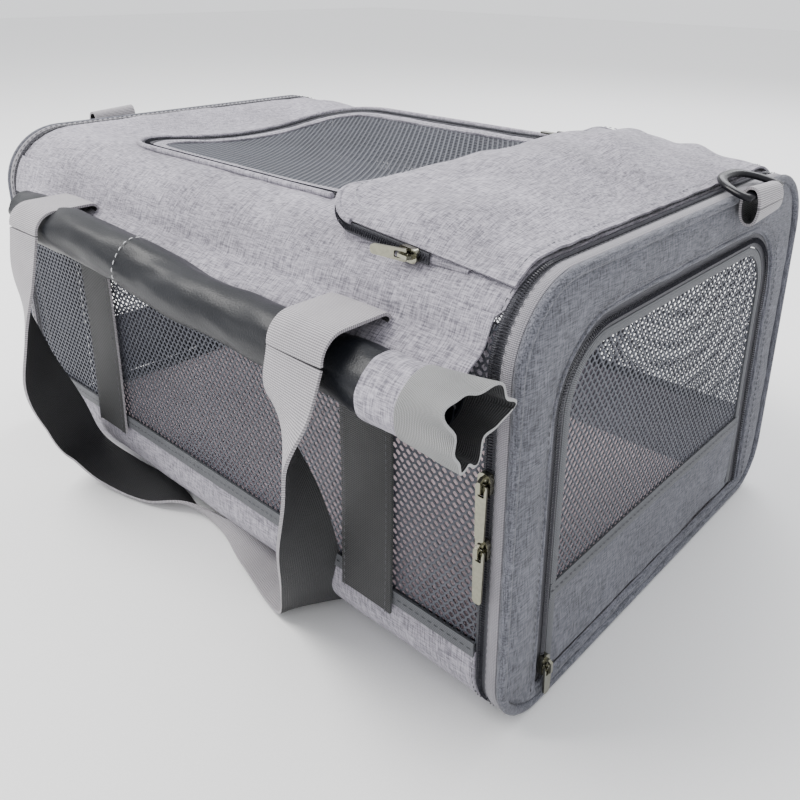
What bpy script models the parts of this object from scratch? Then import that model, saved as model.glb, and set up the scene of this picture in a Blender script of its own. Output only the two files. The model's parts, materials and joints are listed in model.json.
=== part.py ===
"""Soft-sided pet carrier bag: mesh windows, zip doors, a top pocket, rolled curtains and webbing handles.

Metres, +Z up. The origin is the middle of the base, on the surface the bag stands on.
+X points to the near end, beside the storage pocket. -Y is the front long side.
"""
import math

import bmesh
import bpy
from mathutils import Matrix, Vector

# Driving dimensions
LENGTH = 0.500
WIDTH = 0.330
HEIGHT = 0.247
TOP_RADIUS = 0.045
BOTTOM_RADIUS = 0.034
SKIN = 0.003
GAP = 0.0003
CORNER_STEPS = 6

# Stations along the length, from the middle towards either end
BODY_END_X = 0.2317
ZIP_START_X = 0.2320
ZIP_END_X = 0.2385
BAND_START_X = 0.2388
BAND_END_X = 0.2447
PLATE_START_X = 0.2440
PLATE_END_X = 0.2470
PIPING_RADIUS = 0.0025
PIPING_X = LENGTH / 2 - PIPING_RADIUS
WIRE_RADIUS = 0.0015
WIRE_X = 0.2370

# Heights on the long sides
BAND_TOP_Z = 0.047
SEAM_Z = 0.225
BASE_WRAP = 0.018

# Doors at the two ends
DOOR_HALF = 0.1305
DOOR_BOTTOM_Z = 0.0125
DOOR_TOP_Z = 0.2145
DOOR_RADIUS = 0.045
DOOR_ZIP_WIDTH = 0.0082
DOOR_BAND_TOP_Z = 0.0652

# Window in the top panel, which opens as a flap hinged beside the pocket
WINDOW_HALF = 0.118
WINDOW_FAR_X = -0.156
WINDOW_HINGE_X = 0.0975
WINDOW_RADIUS = 0.050
WINDOW_ZIP_WIDTH = 0.006
WINDOW_BINDING_WIDTH = 0.008

# Storage pocket
POCKET_START_X = 0.105
POCKET_HINGE_X = 0.185
POCKET_HALF = 0.148
POCKET_SKIN = 0.0025
POCKET_RIM_LIFT = 0.0050
POCKET_SIDE_LIFT = 0.0055
POCKET_RISE = 0.0215
GUSSET_END_X = 0.202
RIM_CLEARANCE = 0.0011
SEAM_CLEARANCE = 0.0010
GUSSET_SKIN = 0.002
POCKET_ZIP_SLOPE = math.atan((POCKET_RIM_LIFT + POCKET_SIDE_LIFT) / (BODY_END_X - POCKET_START_X))

# Webbing, handles and curtains
WEBBING_WIDTH = 0.038
WEBBING_SKIN = 0.002
FRONT_LEGS_X = (-0.128, 0.157)
REAR_LEGS_X = (-0.190, 0.095)
HANDLE_HINGE_Z = 0.2035
HANDLE_Y = 0.2105
ROLL_RADIUS = 0.0165
ROLL_Y = 0.1905
ROLL_Z = 0.195
FRONT_ROLL_X = (-0.205, 0.252)
REAR_ROLL_X = (-0.250, 0.205)
SHEET_Y = (0.1685, 0.1700)
SHEET_Z = (0.2035, 0.2115)

# Rings and zip sliders
RING_WIRE = 0.0028
RING_HALF = 0.0265
RING_REACH = 0.029
RING_REST_TILT = math.radians(14)
TAB_LENGTH = 0.036
TAB_WALL = 0.0018
TAB_HALF_WIDTH = 0.0064
TAB_HALF_HEIGHT = 0.0118
TAB_X = 0.2568
TAB_Z = 0.2420
NEAR_BAR_Z = 0.2484
FAR_BAR_Z = 0.2353
LONG_PULL = 0.031
SHORT_PULL = 0.019
BAIL_REACH = 0.0042

HEATHER = (0.42, 0.42, 0.46)
LIGHT_HEATHER = (0.52, 0.51, 0.55)
NETTING = (0.16, 0.17, 0.20)
LIGHT_WEBBING = (0.58, 0.56, 0.58)
DARK_ZIP = (0.10, 0.10, 0.12)
COATED_CLOTH = (0.05, 0.05, 0.06)
PLUSH = (0.72, 0.66, 0.66)
BOARD = (0.12, 0.12, 0.13)
STEEL = (0.55, 0.56, 0.58)
CHROME = (0.80, 0.80, 0.82)
BLACK_PLASTIC = (0.02, 0.02, 0.025)

CLOTH_FINISH = (0.9, 0.0)
COATED_FINISH = (0.45, 0.0)
PLASTIC_FINISH = (0.2, 0.0)
METAL_FINISH = (0.2, 1.0)


def clear_scene():
    for existing in list(bpy.data.objects):
        bpy.data.objects.remove(existing)


def add_part(name, mesh, color, finish, smooth=False):
    """Links the mesh as an object with a Principled material of its own."""
    roughness, metallic = finish
    material = bpy.data.materials.new(name)
    material.use_nodes = True
    shader = material.node_tree.nodes["Principled BSDF"]
    shader.inputs["Base Color"].default_value = (*color, 1.0)
    shader.inputs["Roughness"].default_value = roughness
    shader.inputs["Metallic"].default_value = metallic
    mesh.materials.append(material)
    if smooth:
        mesh.shade_smooth()
        mesh.set_sharp_from_angle(angle=math.radians(40))
    part = bpy.data.objects.new(name, mesh)
    bpy.context.collection.objects.link(part)
    return part


def mesh_from(name, bm):
    bmesh.ops.recalc_face_normals(bm, faces=bm.faces)
    mesh = bpy.data.meshes.new(name)
    bm.to_mesh(mesh)
    bm.free()
    return mesh


def sweep(name, rings, closed=False):
    """A closed body through matching rings of points. An open sweep gets flat caps."""
    bm = bmesh.new()
    rows = [[bm.verts.new(point) for point in ring] for ring in rings]
    pairs = list(zip(rows, rows[1:]))
    if closed:
        pairs.append((rows[-1], rows[0]))
    for first, second in pairs:
        for index in range(len(first)):
            after = (index + 1) % len(first)
            bm.faces.new((first[index], first[after], second[after], second[index]))
    if not closed:
        bm.faces.new(rows[0])
        bm.faces.new(rows[-1])
    return mesh_from(name, bm)


def rounded_path(corners, closed=False):
    """Stations (point, left normal) along a path of straight runs whose corners are rounded arcs."""
    count = len(corners)
    stations = []
    for index, (u, v, radius) in enumerate(corners):
        here = Vector((u, v))
        before = Vector(corners[index - 1][:2]) if closed or index else None
        after = Vector(corners[(index + 1) % count][:2]) if closed or index < count - 1 else None
        way_in = (here - before).normalized() if before else (after - here).normalized()
        way_out = (after - here).normalized() if after else way_in
        turn = way_in.angle_signed(way_out) if before and after else 0.0
        steps = CORNER_STEPS if radius > 0.0 and abs(turn) > 0.01 else 0
        start = here - way_in * radius * math.tan(abs(turn) / 2)
        side = -1.0 if turn > 0 else 1.0
        left = Vector((-way_in.y, way_in.x))
        centre = start + left * radius * side
        for step in range(steps + 1):
            spin = Matrix.Rotation(-turn * step / max(steps, 1), 2)
            arm = spin @ (start - centre)
            stations.append((centre + arm, spin @ left))
    return stations


def on_x(x, u, v):
    return Vector((x, u, v))


def on_z(z, u, v):
    return Vector((u, v, z))


def band(name, stations, near_offset, far_offset, low, high, place, closed=False):
    """A flat strip along a planar path, between two offsets to its left and two levels across its plane."""
    rings = []
    for point, left in stations:
        inner = point + left * near_offset
        outer = point + left * far_offset
        rings.append([place(low, *inner), place(low, *outer), place(high, *outer), place(high, *inner)])
    return sweep(name, rings, closed)


def plate(name, outline, holes, low, high, place):
    """A flat plate of the outline with holes, between two levels across its plane."""
    bm = bmesh.new()
    edges = []
    for loop in [outline] + holes:
        verts = [bm.verts.new(place(low, *point)) for point in loop]
        edges += [bm.edges.new((verts[i - 1], verts[i])) for i in range(len(verts))]
    bmesh.ops.triangle_fill(bm, use_beauty=True, use_dissolve=False, edges=edges)
    top = bmesh.ops.extrude_face_region(bm, geom=list(bm.faces))
    lifted = [item for item in top["geom"] if isinstance(item, bmesh.types.BMVert)]
    bmesh.ops.translate(bm, verts=lifted, vec=place(high, 0, 0) - place(low, 0, 0))
    return mesh_from(name, bm)


def section_corners():
    half = WIDTH / 2
    return [
        (-half, 0.0, BOTTOM_RADIUS),
        (-half, HEIGHT, TOP_RADIUS),
        (half, HEIGHT, TOP_RADIUS),
        (half, 0.0, BOTTOM_RADIUS),
    ]


def section_loop():
    """The whole cross-section, clockwise from the front lower corner, with its left normals pointing out."""
    return rounded_path(section_corners(), closed=True)


def section_height(y):
    """Height of the bag's upper surface at a distance y from its middle."""
    over = abs(y) - (WIDTH / 2 - TOP_RADIUS)
    if over <= 0:
        return HEIGHT
    return HEIGHT - TOP_RADIUS + math.sqrt(TOP_RADIUS**2 - over**2)


def arc_stations(centre, radius, start, end):
    """Stations along an arc, angles in degrees from +Y towards +Z, with the normal pointing out."""
    stations = []
    for step in range(CORNER_STEPS + 1):
        angle = math.radians(start + (end - start) * step / CORNER_STEPS)
        out = Vector((math.cos(angle), math.sin(angle)))
        stations.append((Vector(centre) + out * radius, out))
    return stations


def straight_stations(first, last, out):
    return [(Vector(first), Vector(out)), (Vector(last), Vector(out))]


def mirrored(stations):
    """The same stations on the other side of the bag's middle plane."""
    flipped = []
    for point, out in reversed(stations):
        flipped.append((Vector((-point.x, point.y)), Vector((-out.x, out.y))))
    return flipped


HALF = WIDTH / 2
LOW_CENTRE = (-(HALF - BOTTOM_RADIUS), BOTTOM_RADIUS)
HIGH_CENTRE = (-(HALF - TOP_RADIUS), HEIGHT - TOP_RADIUS)
BASE_EDGE_ANGLE = 270 - math.degrees(BASE_WRAP / BOTTOM_RADIUS)
SEAM_ANGLE = 180 - math.degrees(math.asin((SEAM_Z - HIGH_CENTRE[1]) / TOP_RADIUS))
GAP_ANGLE = math.degrees(GAP / TOP_RADIUS)


def base_stations():
    front = arc_stations(LOW_CENTRE, BOTTOM_RADIUS, BASE_EDGE_ANGLE, 270)
    return front + mirrored(front)


def lower_band_stations():
    corner = arc_stations(LOW_CENTRE, BOTTOM_RADIUS, BASE_EDGE_ANGLE - GAP_ANGLE, 180)
    return corner + [(Vector((-HALF, BAND_TOP_Z)), Vector((-1, 0)))]


def side_mesh_stations():
    start = [(Vector((-HALF, BAND_TOP_Z + GAP)), Vector((-1, 0)))]
    return start + arc_stations(HIGH_CENTRE, TOP_RADIUS, 180, SEAM_ANGLE)


def top_stations():
    front = arc_stations(HIGH_CENTRE, TOP_RADIUS, SEAM_ANGLE - GAP_ANGLE, 90)
    return front + mirrored(front)


def body_panel(name, stations, inset, skin, reach, color):
    """A panel that follows the cross-section and runs the body's length."""
    mesh = band(name, stations, -inset, -inset - skin, -reach, reach, on_x)
    return add_part(name, mesh, color, CLOTH_FINISH)


def make_body():
    body_panel("bottom_panel", base_stations(), 0.0, SKIN, BODY_END_X, HEATHER)
    for side, turned in (("front", False), ("rear", True)):
        low = lower_band_stations()
        mesh = side_mesh_stations()
        body_panel(side + "_lower_band", mirrored(low) if turned else low, 0.0, SKIN, BODY_END_X, HEATHER)
        body_panel(side + "_mesh", mirrored(mesh) if turned else mesh, 0.0, SKIN, BODY_END_X, NETTING)


def window_outline(offset):
    """The top window's outline, drawn in by an offset on every side but the hinge."""
    half = WINDOW_HALF - offset
    far = WINDOW_FAR_X + offset
    radius = WINDOW_RADIUS - offset
    return rounded_path([
        (WINDOW_HINGE_X, -half, 0.0),
        (far, -half, radius),
        (far, half, radius),
        (WINDOW_HINGE_X, half, 0.0),
    ])


def make_top():
    top = body_panel("top_panel", top_stations(), 0.0, SKIN, BODY_END_X, LIGHT_HEATHER)
    outline = [point for point, _ in window_outline(0.0)]
    cutter_mesh = plate("window_cutter", outline, [], HEIGHT - 0.02, HEIGHT + 0.02, on_z)
    cutter = bpy.data.objects.new("window_cutter", cutter_mesh)
    bpy.context.collection.objects.link(cutter)
    cutter.hide_render = True
    cutter.display_type = "WIRE"
    cut = top.modifiers.new("window", "BOOLEAN")
    cut.operation = "DIFFERENCE"
    cut.object = cutter

    level = (HEIGHT - SKIN, HEIGHT)
    mesh = band("top_door_zip", window_outline(GAP), 0.0, -WINDOW_ZIP_WIDTH, *level, on_z)
    add_part("top_door_zip", mesh, DARK_ZIP, CLOTH_FINISH)
    binding_edge = WINDOW_ZIP_WIDTH + 2 * GAP
    binding = window_outline(binding_edge)
    mesh = band("top_door_binding", binding, 0.0, -WINDOW_BINDING_WIDTH, *level, on_z)
    binding_part = add_part("top_door_binding", mesh, LIGHT_HEATHER, CLOTH_FINISH)
    inside = window_outline(binding_edge + WINDOW_BINDING_WIDTH + GAP)
    net = plate("top_door_mesh", [point for point, _ in inside], [], *level, on_z)
    net_part = add_part("top_door_mesh", net, NETTING, CLOTH_FINISH)
    set_pivot((binding_part, net_part), "top_door_hinge", (WINDOW_HINGE_X, 0.0, HEIGHT))


def set_pivot(parts, name, pivot):
    """Parents the parts to an empty that sits on their joint's axis."""
    empty = bpy.data.objects.new(name, None)
    bpy.context.collection.objects.link(empty)
    empty.location = pivot
    for part in parts:
        part.parent = empty
        part.matrix_parent_inverse = Matrix.Translation(Vector(pivot)).inverted()


def loop_tube(name, stations, radius, offset, x, sides=8):
    """A round cord that follows the whole cross-section at one station along the length."""
    rings = []
    for point, out in stations:
        centre = point + out * offset
        ring = []
        for step in range(sides):
            angle = 2 * math.pi * step / sides
            along = out * radius * math.cos(angle)
            ring.append(on_x(x + radius * math.sin(angle), *(centre + along)))
        rings.append(ring)
    return sweep(name, rings, closed=True)


def door_outline(offset, bottom):
    """The door opening, drawn in by an offset at the sides and top, from the bottom up and over."""
    half = DOOR_HALF - offset
    top = DOOR_TOP_Z - offset
    radius = DOOR_RADIUS - offset
    return rounded_path([(-half, bottom, 0.0), (-half, top, radius), (half, top, radius), (half, bottom, 0.0)])


def points_of(stations):
    return [point for point, _ in stations]


def make_end(end, sign):
    """Everything at one end of the bag: sign is +1 for the near end and -1 for the far end."""
    def across(level, u, v):
        return Vector((sign * level, u, v))

    section = section_loop()
    zip_loop = band(end, section, -0.0005, -0.0030, ZIP_START_X, ZIP_END_X, across, closed=True)
    add_part(end + "_perimeter_zip", zip_loop, DARK_ZIP, CLOTH_FINISH)
    binding = band(end, section, -0.0005, -0.0030, BAND_START_X, BAND_END_X, across, closed=True)
    add_part(end + "_end_band", binding, LIGHT_WEBBING, CLOTH_FINISH)
    piping = loop_tube(end, section, PIPING_RADIUS, -PIPING_RADIUS - 0.0005, sign * PIPING_X)
    add_part(end + "_end_piping", piping, HEATHER, CLOTH_FINISH, smooth=True)
    wire = loop_tube(end, section, WIRE_RADIUS, -0.0080, sign * WIRE_X, sides=6)
    add_part(end + "_end_wire", wire, STEEL, METAL_FINISH, smooth=True)

    outline = [point - out * 0.0060 for point, out in section]
    hole = points_of(door_outline(0.0, DOOR_BOTTOM_Z - GAP))
    panel = plate(end, outline, [hole], PLATE_START_X, PLATE_END_X, across)
    add_part(end + "_end_panel", panel, HEATHER, CLOTH_FINISH)
    zip_run = door_outline(GAP, DOOR_BOTTOM_Z)
    door_zip = band(end, zip_run, 0.0, -DOOR_ZIP_WIDTH, PLATE_START_X, PLATE_END_X, across)
    add_part(end + "_door_zip", door_zip, DARK_ZIP, CLOTH_FINISH)

    door_inset = DOOR_ZIP_WIDTH + 2 * GAP
    net = plate(end, points_of(door_outline(door_inset, DOOR_BAND_TOP_Z + GAP)), [],
                PLATE_START_X, PLATE_END_X, across)
    net_part = add_part(end + "_door_mesh", net, NETTING, CLOTH_FINISH)
    half = DOOR_HALF - door_inset
    band_outline = [
        Vector((-half, DOOR_BOTTOM_Z)),
        Vector((half, DOOR_BOTTOM_Z)),
        Vector((half, DOOR_BAND_TOP_Z)),
        Vector((-half, DOOR_BAND_TOP_Z)),
    ]
    lower = plate(end, band_outline, [], PLATE_START_X, PLATE_END_X, across)
    lower_part = add_part(end + "_door_lower_band", lower, HEATHER, CLOTH_FINISH)
    set_pivot((net_part, lower_part), end + "_door_hinge", (sign * PLATE_END_X, 0.0, DOOR_BOTTOM_Z))


def box_mesh(name, low, high):
    outline = [Vector((low[0], low[1])), Vector((high[0], low[1])),
               Vector((high[0], high[1])), Vector((low[0], high[1]))]
    return plate(name, outline, [], low[2], high[2], on_z)


def rounded_slab(name, half_x, half_y, radius, low, high):
    outline = points_of(rounded_path([
        (-half_x, -half_y, radius),
        (-half_x, half_y, radius),
        (half_x, half_y, radius),
        (half_x, -half_y, radius),
    ], closed=True))
    return plate(name, outline, [], low, high, on_z)


def make_inside():
    board = rounded_slab("base_board", 0.226, 0.127, 0.012, SKIN + GAP, SKIN + GAP + 0.003)
    add_part("base_board", board, BOARD, PLASTIC_FINISH)
    pad_low = SKIN + 2 * GAP + 0.003
    pad = rounded_slab("fleece_pad", 0.226, 0.125, 0.015, pad_low, pad_low + 0.012)
    add_part("fleece_pad", pad, PLUSH, CLOTH_FINISH)


def pocket_top(x, y):
    """Height of the pocket's cover: a dome over its zipped rim, falling to the seam at the near end."""
    along = (x - POCKET_START_X) / (BODY_END_X - POCKET_START_X)
    across = y / POCKET_HALF
    seam = section_height(y) + SEAM_CLEARANCE + POCKET_SKIN
    rim = (1 - along) * (POCKET_RIM_LIFT + POCKET_SIDE_LIFT * across**2)
    crown = math.sin(math.pi * along**0.8)
    return seam + rim + POCKET_RISE * crown * (1 - across**2)


def cover_shell(name, x_start, x_end, steps_x, steps_y=16):
    """A curved sheet of the pocket's cover between two stations along the length."""
    bm = bmesh.new()
    layers = []
    for lower in (0.0, POCKET_SKIN):
        rows = []
        for i in range(steps_x + 1):
            x = x_start + (x_end - x_start) * i / steps_x
            row = []
            for j in range(steps_y + 1):
                y = POCKET_HALF * math.sin(math.pi * (j / steps_y - 0.5))
                row.append(bm.verts.new((x, y, pocket_top(x, y) - lower)))
            rows.append(row)
        layers.append(rows)
    for rows in layers:
        for i in range(steps_x):
            for j in range(steps_y):
                bm.faces.new((rows[i][j], rows[i + 1][j], rows[i + 1][j + 1], rows[i][j + 1]))
    upper, under = layers
    rim = [(i, 0) for i in range(steps_x)] + [(steps_x, j) for j in range(steps_y)]
    rim += [(i, steps_y) for i in range(steps_x, 0, -1)] + [(0, j) for j in range(steps_y, 0, -1)]
    for index, (i, j) in enumerate(rim):
        p, q = rim[(index + 1) % len(rim)]
        bm.faces.new((upper[i][j], upper[p][q], under[p][q], under[i][j]))
    return mesh_from(name, bm)


def make_pocket():
    lid = cover_shell("pocket_lid", POCKET_START_X, POCKET_HINGE_X - GAP, 7)
    lid_part = add_part("pocket_lid", lid, HEATHER, CLOTH_FINISH, smooth=True)
    set_pivot((lid_part,), "pocket_hinge", (POCKET_HINGE_X, 0.0, pocket_top(POCKET_HINGE_X, 0.0)))
    back = cover_shell("pocket_back", POCKET_HINGE_X, BODY_END_X, 4)
    add_part("pocket_back", back, HEATHER, CLOTH_FINISH, smooth=True)

    half = POCKET_HALF - 0.001
    start = POCKET_START_X + 0.001
    path = rounded_path([
        (GUSSET_END_X, -half, 0.0),
        (start, -half, 0.006),
        (start, half, 0.006),
        (GUSSET_END_X, half, 0.0),
    ])
    spread = []
    for (point, left), (after, _) in zip(path, path[1:] + path[-1:]):
        spread.append((point, left))
        run = (after - point).length
        extra = int(run / 0.008)
        spread += [(point.lerp(after, k / (extra + 1)), left) for k in range(1, extra + 1)]
    rings = []
    zip_rings = []
    for point, left in spread:
        inner = point - left * GUSSET_SKIN
        foot = section_height(max(abs(point.y), abs(inner.y))) + GAP
        foot_in = section_height(inner.y) + GAP
        top = pocket_top(point.x, min(abs(point.y), half)) - POCKET_SKIN - RIM_CLEARANCE
        top_in = pocket_top(max(inner.x, start), inner.y) - POCKET_SKIN - RIM_CLEARANCE
        rings.append([on_z(foot, *point), on_z(foot_in, *inner), on_z(top_in, *inner), on_z(top, *point)])
        if point.x < POCKET_HINGE_X:
            near = point + left * GAP
            outer = point + left * 0.0015
            zip_rings.append([on_z(top - 0.0032, *near), on_z(top - 0.0032, *outer),
                              on_z(top - 0.0012, *outer), on_z(top - 0.0012, *near)])
    add_part("pocket_gusset", sweep("pocket_gusset", rings), HEATHER, CLOTH_FINISH)
    add_part("pocket_zip", sweep("pocket_zip", zip_rings), DARK_ZIP, CLOTH_FINISH)


def smooth_route(points, steps):
    """Points on a smooth curve through the given ones."""
    knots = [Vector(point) for point in points]
    knots = [2 * knots[0] - knots[1]] + knots + [2 * knots[-1] - knots[-2]]
    route = []
    for before, here, after, beyond in zip(knots, knots[1:], knots[2:], knots[3:]):
        for step in range(steps):
            t = step / steps
            pull = (after - before) * t + (2 * before - 5 * here + 4 * after - beyond) * t**2
            pull += (3 * here - before - 3 * after + beyond) * t**3
            route.append(here + pull / 2)
    route.append(knots[-2])
    return route


def ribbon(name, route, across, width, skin):
    """A flat strap along the route, with its width along the matching direction at each point."""
    rings = []
    for index, point in enumerate(route):
        before = route[max(index - 1, 0)]
        after = route[min(index + 1, len(route) - 1)]
        travel = (after - before).normalized()
        side = across[index] - travel * across[index].dot(travel)
        side = side.normalized() * width / 2
        face = travel.cross(side).normalized() * skin / 2
        rings.append([point - side - face, point + side - face, point + side + face, point - side + face])
    return sweep(name, rings)


def make_webbing(side, sign, legs):
    """Sewn strips that run up one long side and turn out over its rolled curtain, towards the handle."""
    up_y = HALF + GAP + WEBBING_SKIN / 2 + 0.0002
    turn_z = ROLL_Z + ROLL_RADIUS + 0.006
    bend = HANDLE_Y - ROLL_Y - 0.0065
    route = [Vector((0, -up_y, BOTTOM_RADIUS)), Vector((0, -up_y, turn_z - 0.005))]
    for step in range(1, 5):
        angle = math.radians(90 * step / 4)
        route.append(Vector((0, -up_y - 0.005 + 0.005 * math.cos(angle), turn_z - 0.005 + 0.005 * math.sin(angle))))
    drop_y = -HANDLE_Y + bend
    for step in range(CORNER_STEPS + 1):
        angle = math.radians(90 * step / CORNER_STEPS)
        route.append(Vector((0, drop_y - bend * math.sin(angle), turn_z - bend + bend * math.cos(angle))))
    route.append(Vector((0, -HANDLE_Y, HANDLE_HINGE_Z + 0.0005)))
    for place, leg in zip(("far", "near"), legs):
        shifted = [Vector((leg, -sign * point.y, point.z)) for point in route]
        name = side + "_webbing_" + place
        mesh = ribbon(name, shifted, [Vector((1, 0, 0))] * len(shifted), WEBBING_WIDTH, WEBBING_SKIN)
        add_part(name, mesh, LIGHT_WEBBING, CLOTH_FINISH)


def make_handle(side, sign, legs):
    """A hanging loop of webbing: two flat legs that turn edge-on near the floor and meet under the side."""
    far_x, near_x = legs
    middle_x = (far_x + near_x) / 2
    y = sign * HANDLE_Y
    low_y = sign * 0.1772
    guides = [
        ((far_x, y, HANDLE_HINGE_Z - 0.0005), (1, 0, 0)),
        ((far_x, y, 0.140), (1, 0, 0)),
        ((far_x, y, 0.082), (1, sign * 0.02, 0)),
        ((far_x + 0.004, sign * 0.2030, 0.045), (0.8, sign * 0.6, 0)),
        ((far_x + 0.016, sign * 0.1880, 0.018), (0.25, sign * 0.95, -0.10)),
        ((far_x + 0.048, low_y, 0.0060), (0, sign, -0.17)),
        ((middle_x, low_y, 0.0060), (0, sign, -0.17)),
    ]
    other = [((2 * middle_x - p[0], p[1], p[2]), (-w[0], w[1], w[2])) for p, w in reversed(guides[:-1])]
    guides += other
    steps = 4
    route = smooth_route([place for place, _ in guides], steps)
    across = smooth_route([way for _, way in guides], steps)
    name = side + "_handle"
    strap = add_part(name, ribbon(name, route, across, WEBBING_WIDTH, WEBBING_SKIN), LIGHT_WEBBING, CLOTH_FINISH)
    set_pivot((strap,), name + "_hinge", (0.0, sign * (HANDLE_Y + 0.0016), HANDLE_HINGE_Z))


def make_curtain(side, sign, reach, color):
    """A curtain rolled up under the shoulder, and the short length of it that still hangs from the seam."""
    rings = []
    sides = 20
    for x in reach:
        ring = []
        for step in range(sides):
            angle = 2 * math.pi * step / sides
            ring.append(Vector((x, sign * ROLL_Y + ROLL_RADIUS * math.cos(angle),
                                ROLL_Z + ROLL_RADIUS * math.sin(angle))))
        rings.append(ring)
    roll = add_part(side + "_curtain_roll", sweep(side, rings), color, COATED_FINISH, smooth=True)
    set_pivot((roll,), side + "_curtain_slide", (0.0, sign * ROLL_Y, ROLL_Z))
    low_y, high_y = sorted((sign * SHEET_Y[0], sign * SHEET_Y[1]))
    sheet = box_mesh(side, (reach[0] + 0.010, low_y, SHEET_Z[0]), (min(reach[1], 0.222), high_y, SHEET_Z[1]))
    add_part(side + "_curtain_sheet", sheet, color, COATED_FINISH)


def ring_stations():
    """A D: a straight bar along +Y through the origin and a bow that reaches out along -X."""
    bow = RING_HALF - RING_WIRE
    reach = RING_REACH - RING_WIRE
    stations = rounded_path([
        (0.0, -bow, 0.006),
        (0.0, bow, 0.006),
        (-reach, bow, 0.018),
        (-reach, -bow, 0.018),
    ], closed=True)
    return stations


def make_ring(end, sign, y, bar_z, rotation):
    """A D-ring and the webbing loop it turns in. The ring's origin is on its bar's axis."""
    rings = []
    for point, left in ring_stations():
        ring = []
        for step in range(8):
            angle = 2 * math.pi * step / 8
            flat = point + left * RING_WIRE * math.cos(angle)
            ring.append(Vector((flat.x, flat.y, RING_WIRE * math.sin(angle))))
        rings.append(ring)
    name = end + "_d_ring"
    part = add_part(name, sweep(name, rings, closed=True), BLACK_PLASTIC, PLASTIC_FINISH, smooth=True)
    part.location = (sign * TAB_X, y, bar_z)
    part.rotation_euler = (0.0, rotation, 0.0)

    outline = rounded_path([
        (-TAB_HALF_WIDTH, -TAB_HALF_HEIGHT, TAB_HALF_WIDTH),
        (-TAB_HALF_WIDTH, TAB_HALF_HEIGHT, TAB_HALF_WIDTH),
        (TAB_HALF_WIDTH, TAB_HALF_HEIGHT, TAB_HALF_WIDTH),
        (TAB_HALF_WIDTH, -TAB_HALF_HEIGHT, TAB_HALF_WIDTH),
    ], closed=True)
    name = end + "_ring_tab"
    half = TAB_LENGTH / 2
    mesh = band(name, outline, 0.0, -TAB_WALL, -half, half, lambda level, u, v: Vector((u, level, v)), closed=True)
    tab = add_part(name, mesh, LIGHT_WEBBING, CLOTH_FINISH, smooth=True)
    tab.location = (sign * TAB_X, y, TAB_Z)


def slider_mesh(name):
    """A zip slider on its back: it slides along Z, its face points to -Y and its pull's bail is on top."""
    half_width = 0.0037
    half_length = 0.0058
    body = rounded_path([
        (-half_width, -half_length, 0.0020),
        (-half_width, half_length, 0.0028),
        (half_width, half_length, 0.0028),
        (half_width, -half_length, 0.0020),
    ], closed=True)
    return plate(name, points_of(body), [], -0.0028, 0.0, lambda level, u, v: Vector((u, level, v)))


def bail_mesh(name):
    """The little bridge over a slider, which the pull hangs from."""
    def on_yz(level, u, v):
        return Vector((level, u, v))

    outer = [Vector((-0.0010, -0.0044)), Vector((-0.0010, 0.0044)), Vector((-0.0048, 0.0044)),
             Vector((-0.0068, 0.0030)), Vector((-0.0068, -0.0030)), Vector((-0.0048, -0.0044))]
    inner = [Vector((-0.0020, -0.0030)), Vector((-0.0020, 0.0030)), Vector((-0.0044, 0.0030)),
             Vector((-0.0056, 0.0018)), Vector((-0.0056, -0.0018)), Vector((-0.0044, -0.0030))]
    return plate(name, outer, [inner], -0.0009, 0.0009, on_yz)


def pull_mesh(name, length):
    """A flat pull that hangs from the bar above its eye. The origin is the middle of that bar."""
    bar = 0.0006
    outline = points_of(rounded_path([
        (-0.0026, bar - length, 0.0020),
        (-0.0033, bar, 0.0008),
        (0.0033, bar, 0.0008),
        (0.0026, bar - length, 0.0020),
    ], closed=True))
    eye = points_of(rounded_path([
        (-0.0018, -0.0058, 0.0008),
        (-0.0018, -bar, 0.0005),
        (0.0018, -bar, 0.0005),
        (0.0018, -0.0058, 0.0008),
    ], closed=True))
    return plate(name, outline, [eye], -bar, bar, lambda level, u, v: Vector((u, level, v)))


def make_slider(name, location, facing, length, pull_lift=0.0):
    """A slider and its pull. facing turns the slider's own face, at -Y, to the side it lies on."""
    slider = add_part(name + "_slider", slider_mesh(name), CHROME, METAL_FINISH, smooth=True)
    bail = bpy.data.objects.new(name + "_bail", bail_mesh(name + "_bail"))
    bpy.context.collection.objects.link(bail)
    bail.hide_render = True
    bail.display_type = "WIRE"
    join = slider.modifiers.new("bail", "BOOLEAN")
    join.operation = "UNION"
    join.object = bail
    for part in (slider, bail):
        part.location = location
        part.rotation_euler = facing
    turn = slider.rotation_euler.to_matrix()
    pull = add_part(name + "_pull", pull_mesh(name, length), CHROME, METAL_FINISH, smooth=True)
    pull.location = Vector(location) + turn @ Vector((0.0, -BAIL_REACH, 0.0))
    pull.rotation_euler = (turn @ Matrix.Rotation(pull_lift, 3, "X")).to_euler()


def make_sliders():
    zip_x = (ZIP_START_X + ZIP_END_X) / 2
    side_y = -HALF - 0.0001
    make_slider("near_upper", (zip_x, side_y, 0.150), (0, 0, 0), LONG_PULL)
    make_slider("near_lower", (zip_x, side_y, 0.114), (0, 0, 0), LONG_PULL)
    door_y = DOOR_HALF - GAP - DOOR_ZIP_WIDTH / 2
    face_x = PLATE_END_X + GAP
    quarter = math.pi / 2
    make_slider("near_door", (face_x, -door_y, 0.0235), (0, 0, quarter), SHORT_PULL)
    make_slider("far_door", (-face_x, door_y, 0.0235), (0, 0, -quarter), SHORT_PULL)
    window_y = WINDOW_HALF - WINDOW_ZIP_WIDTH / 2 + 0.0006
    make_slider("top_door", (0.082, window_y, HEIGHT + GAP), (-quarter, 0, -quarter), SHORT_PULL)
    pocket_y = -POCKET_HALF - 0.0008
    make_slider("pocket", (0.172, pocket_y, 0.2412), (0, quarter + POCKET_ZIP_SLOPE, 0), SHORT_PULL,
                pull_lift=math.radians(-20))


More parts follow.
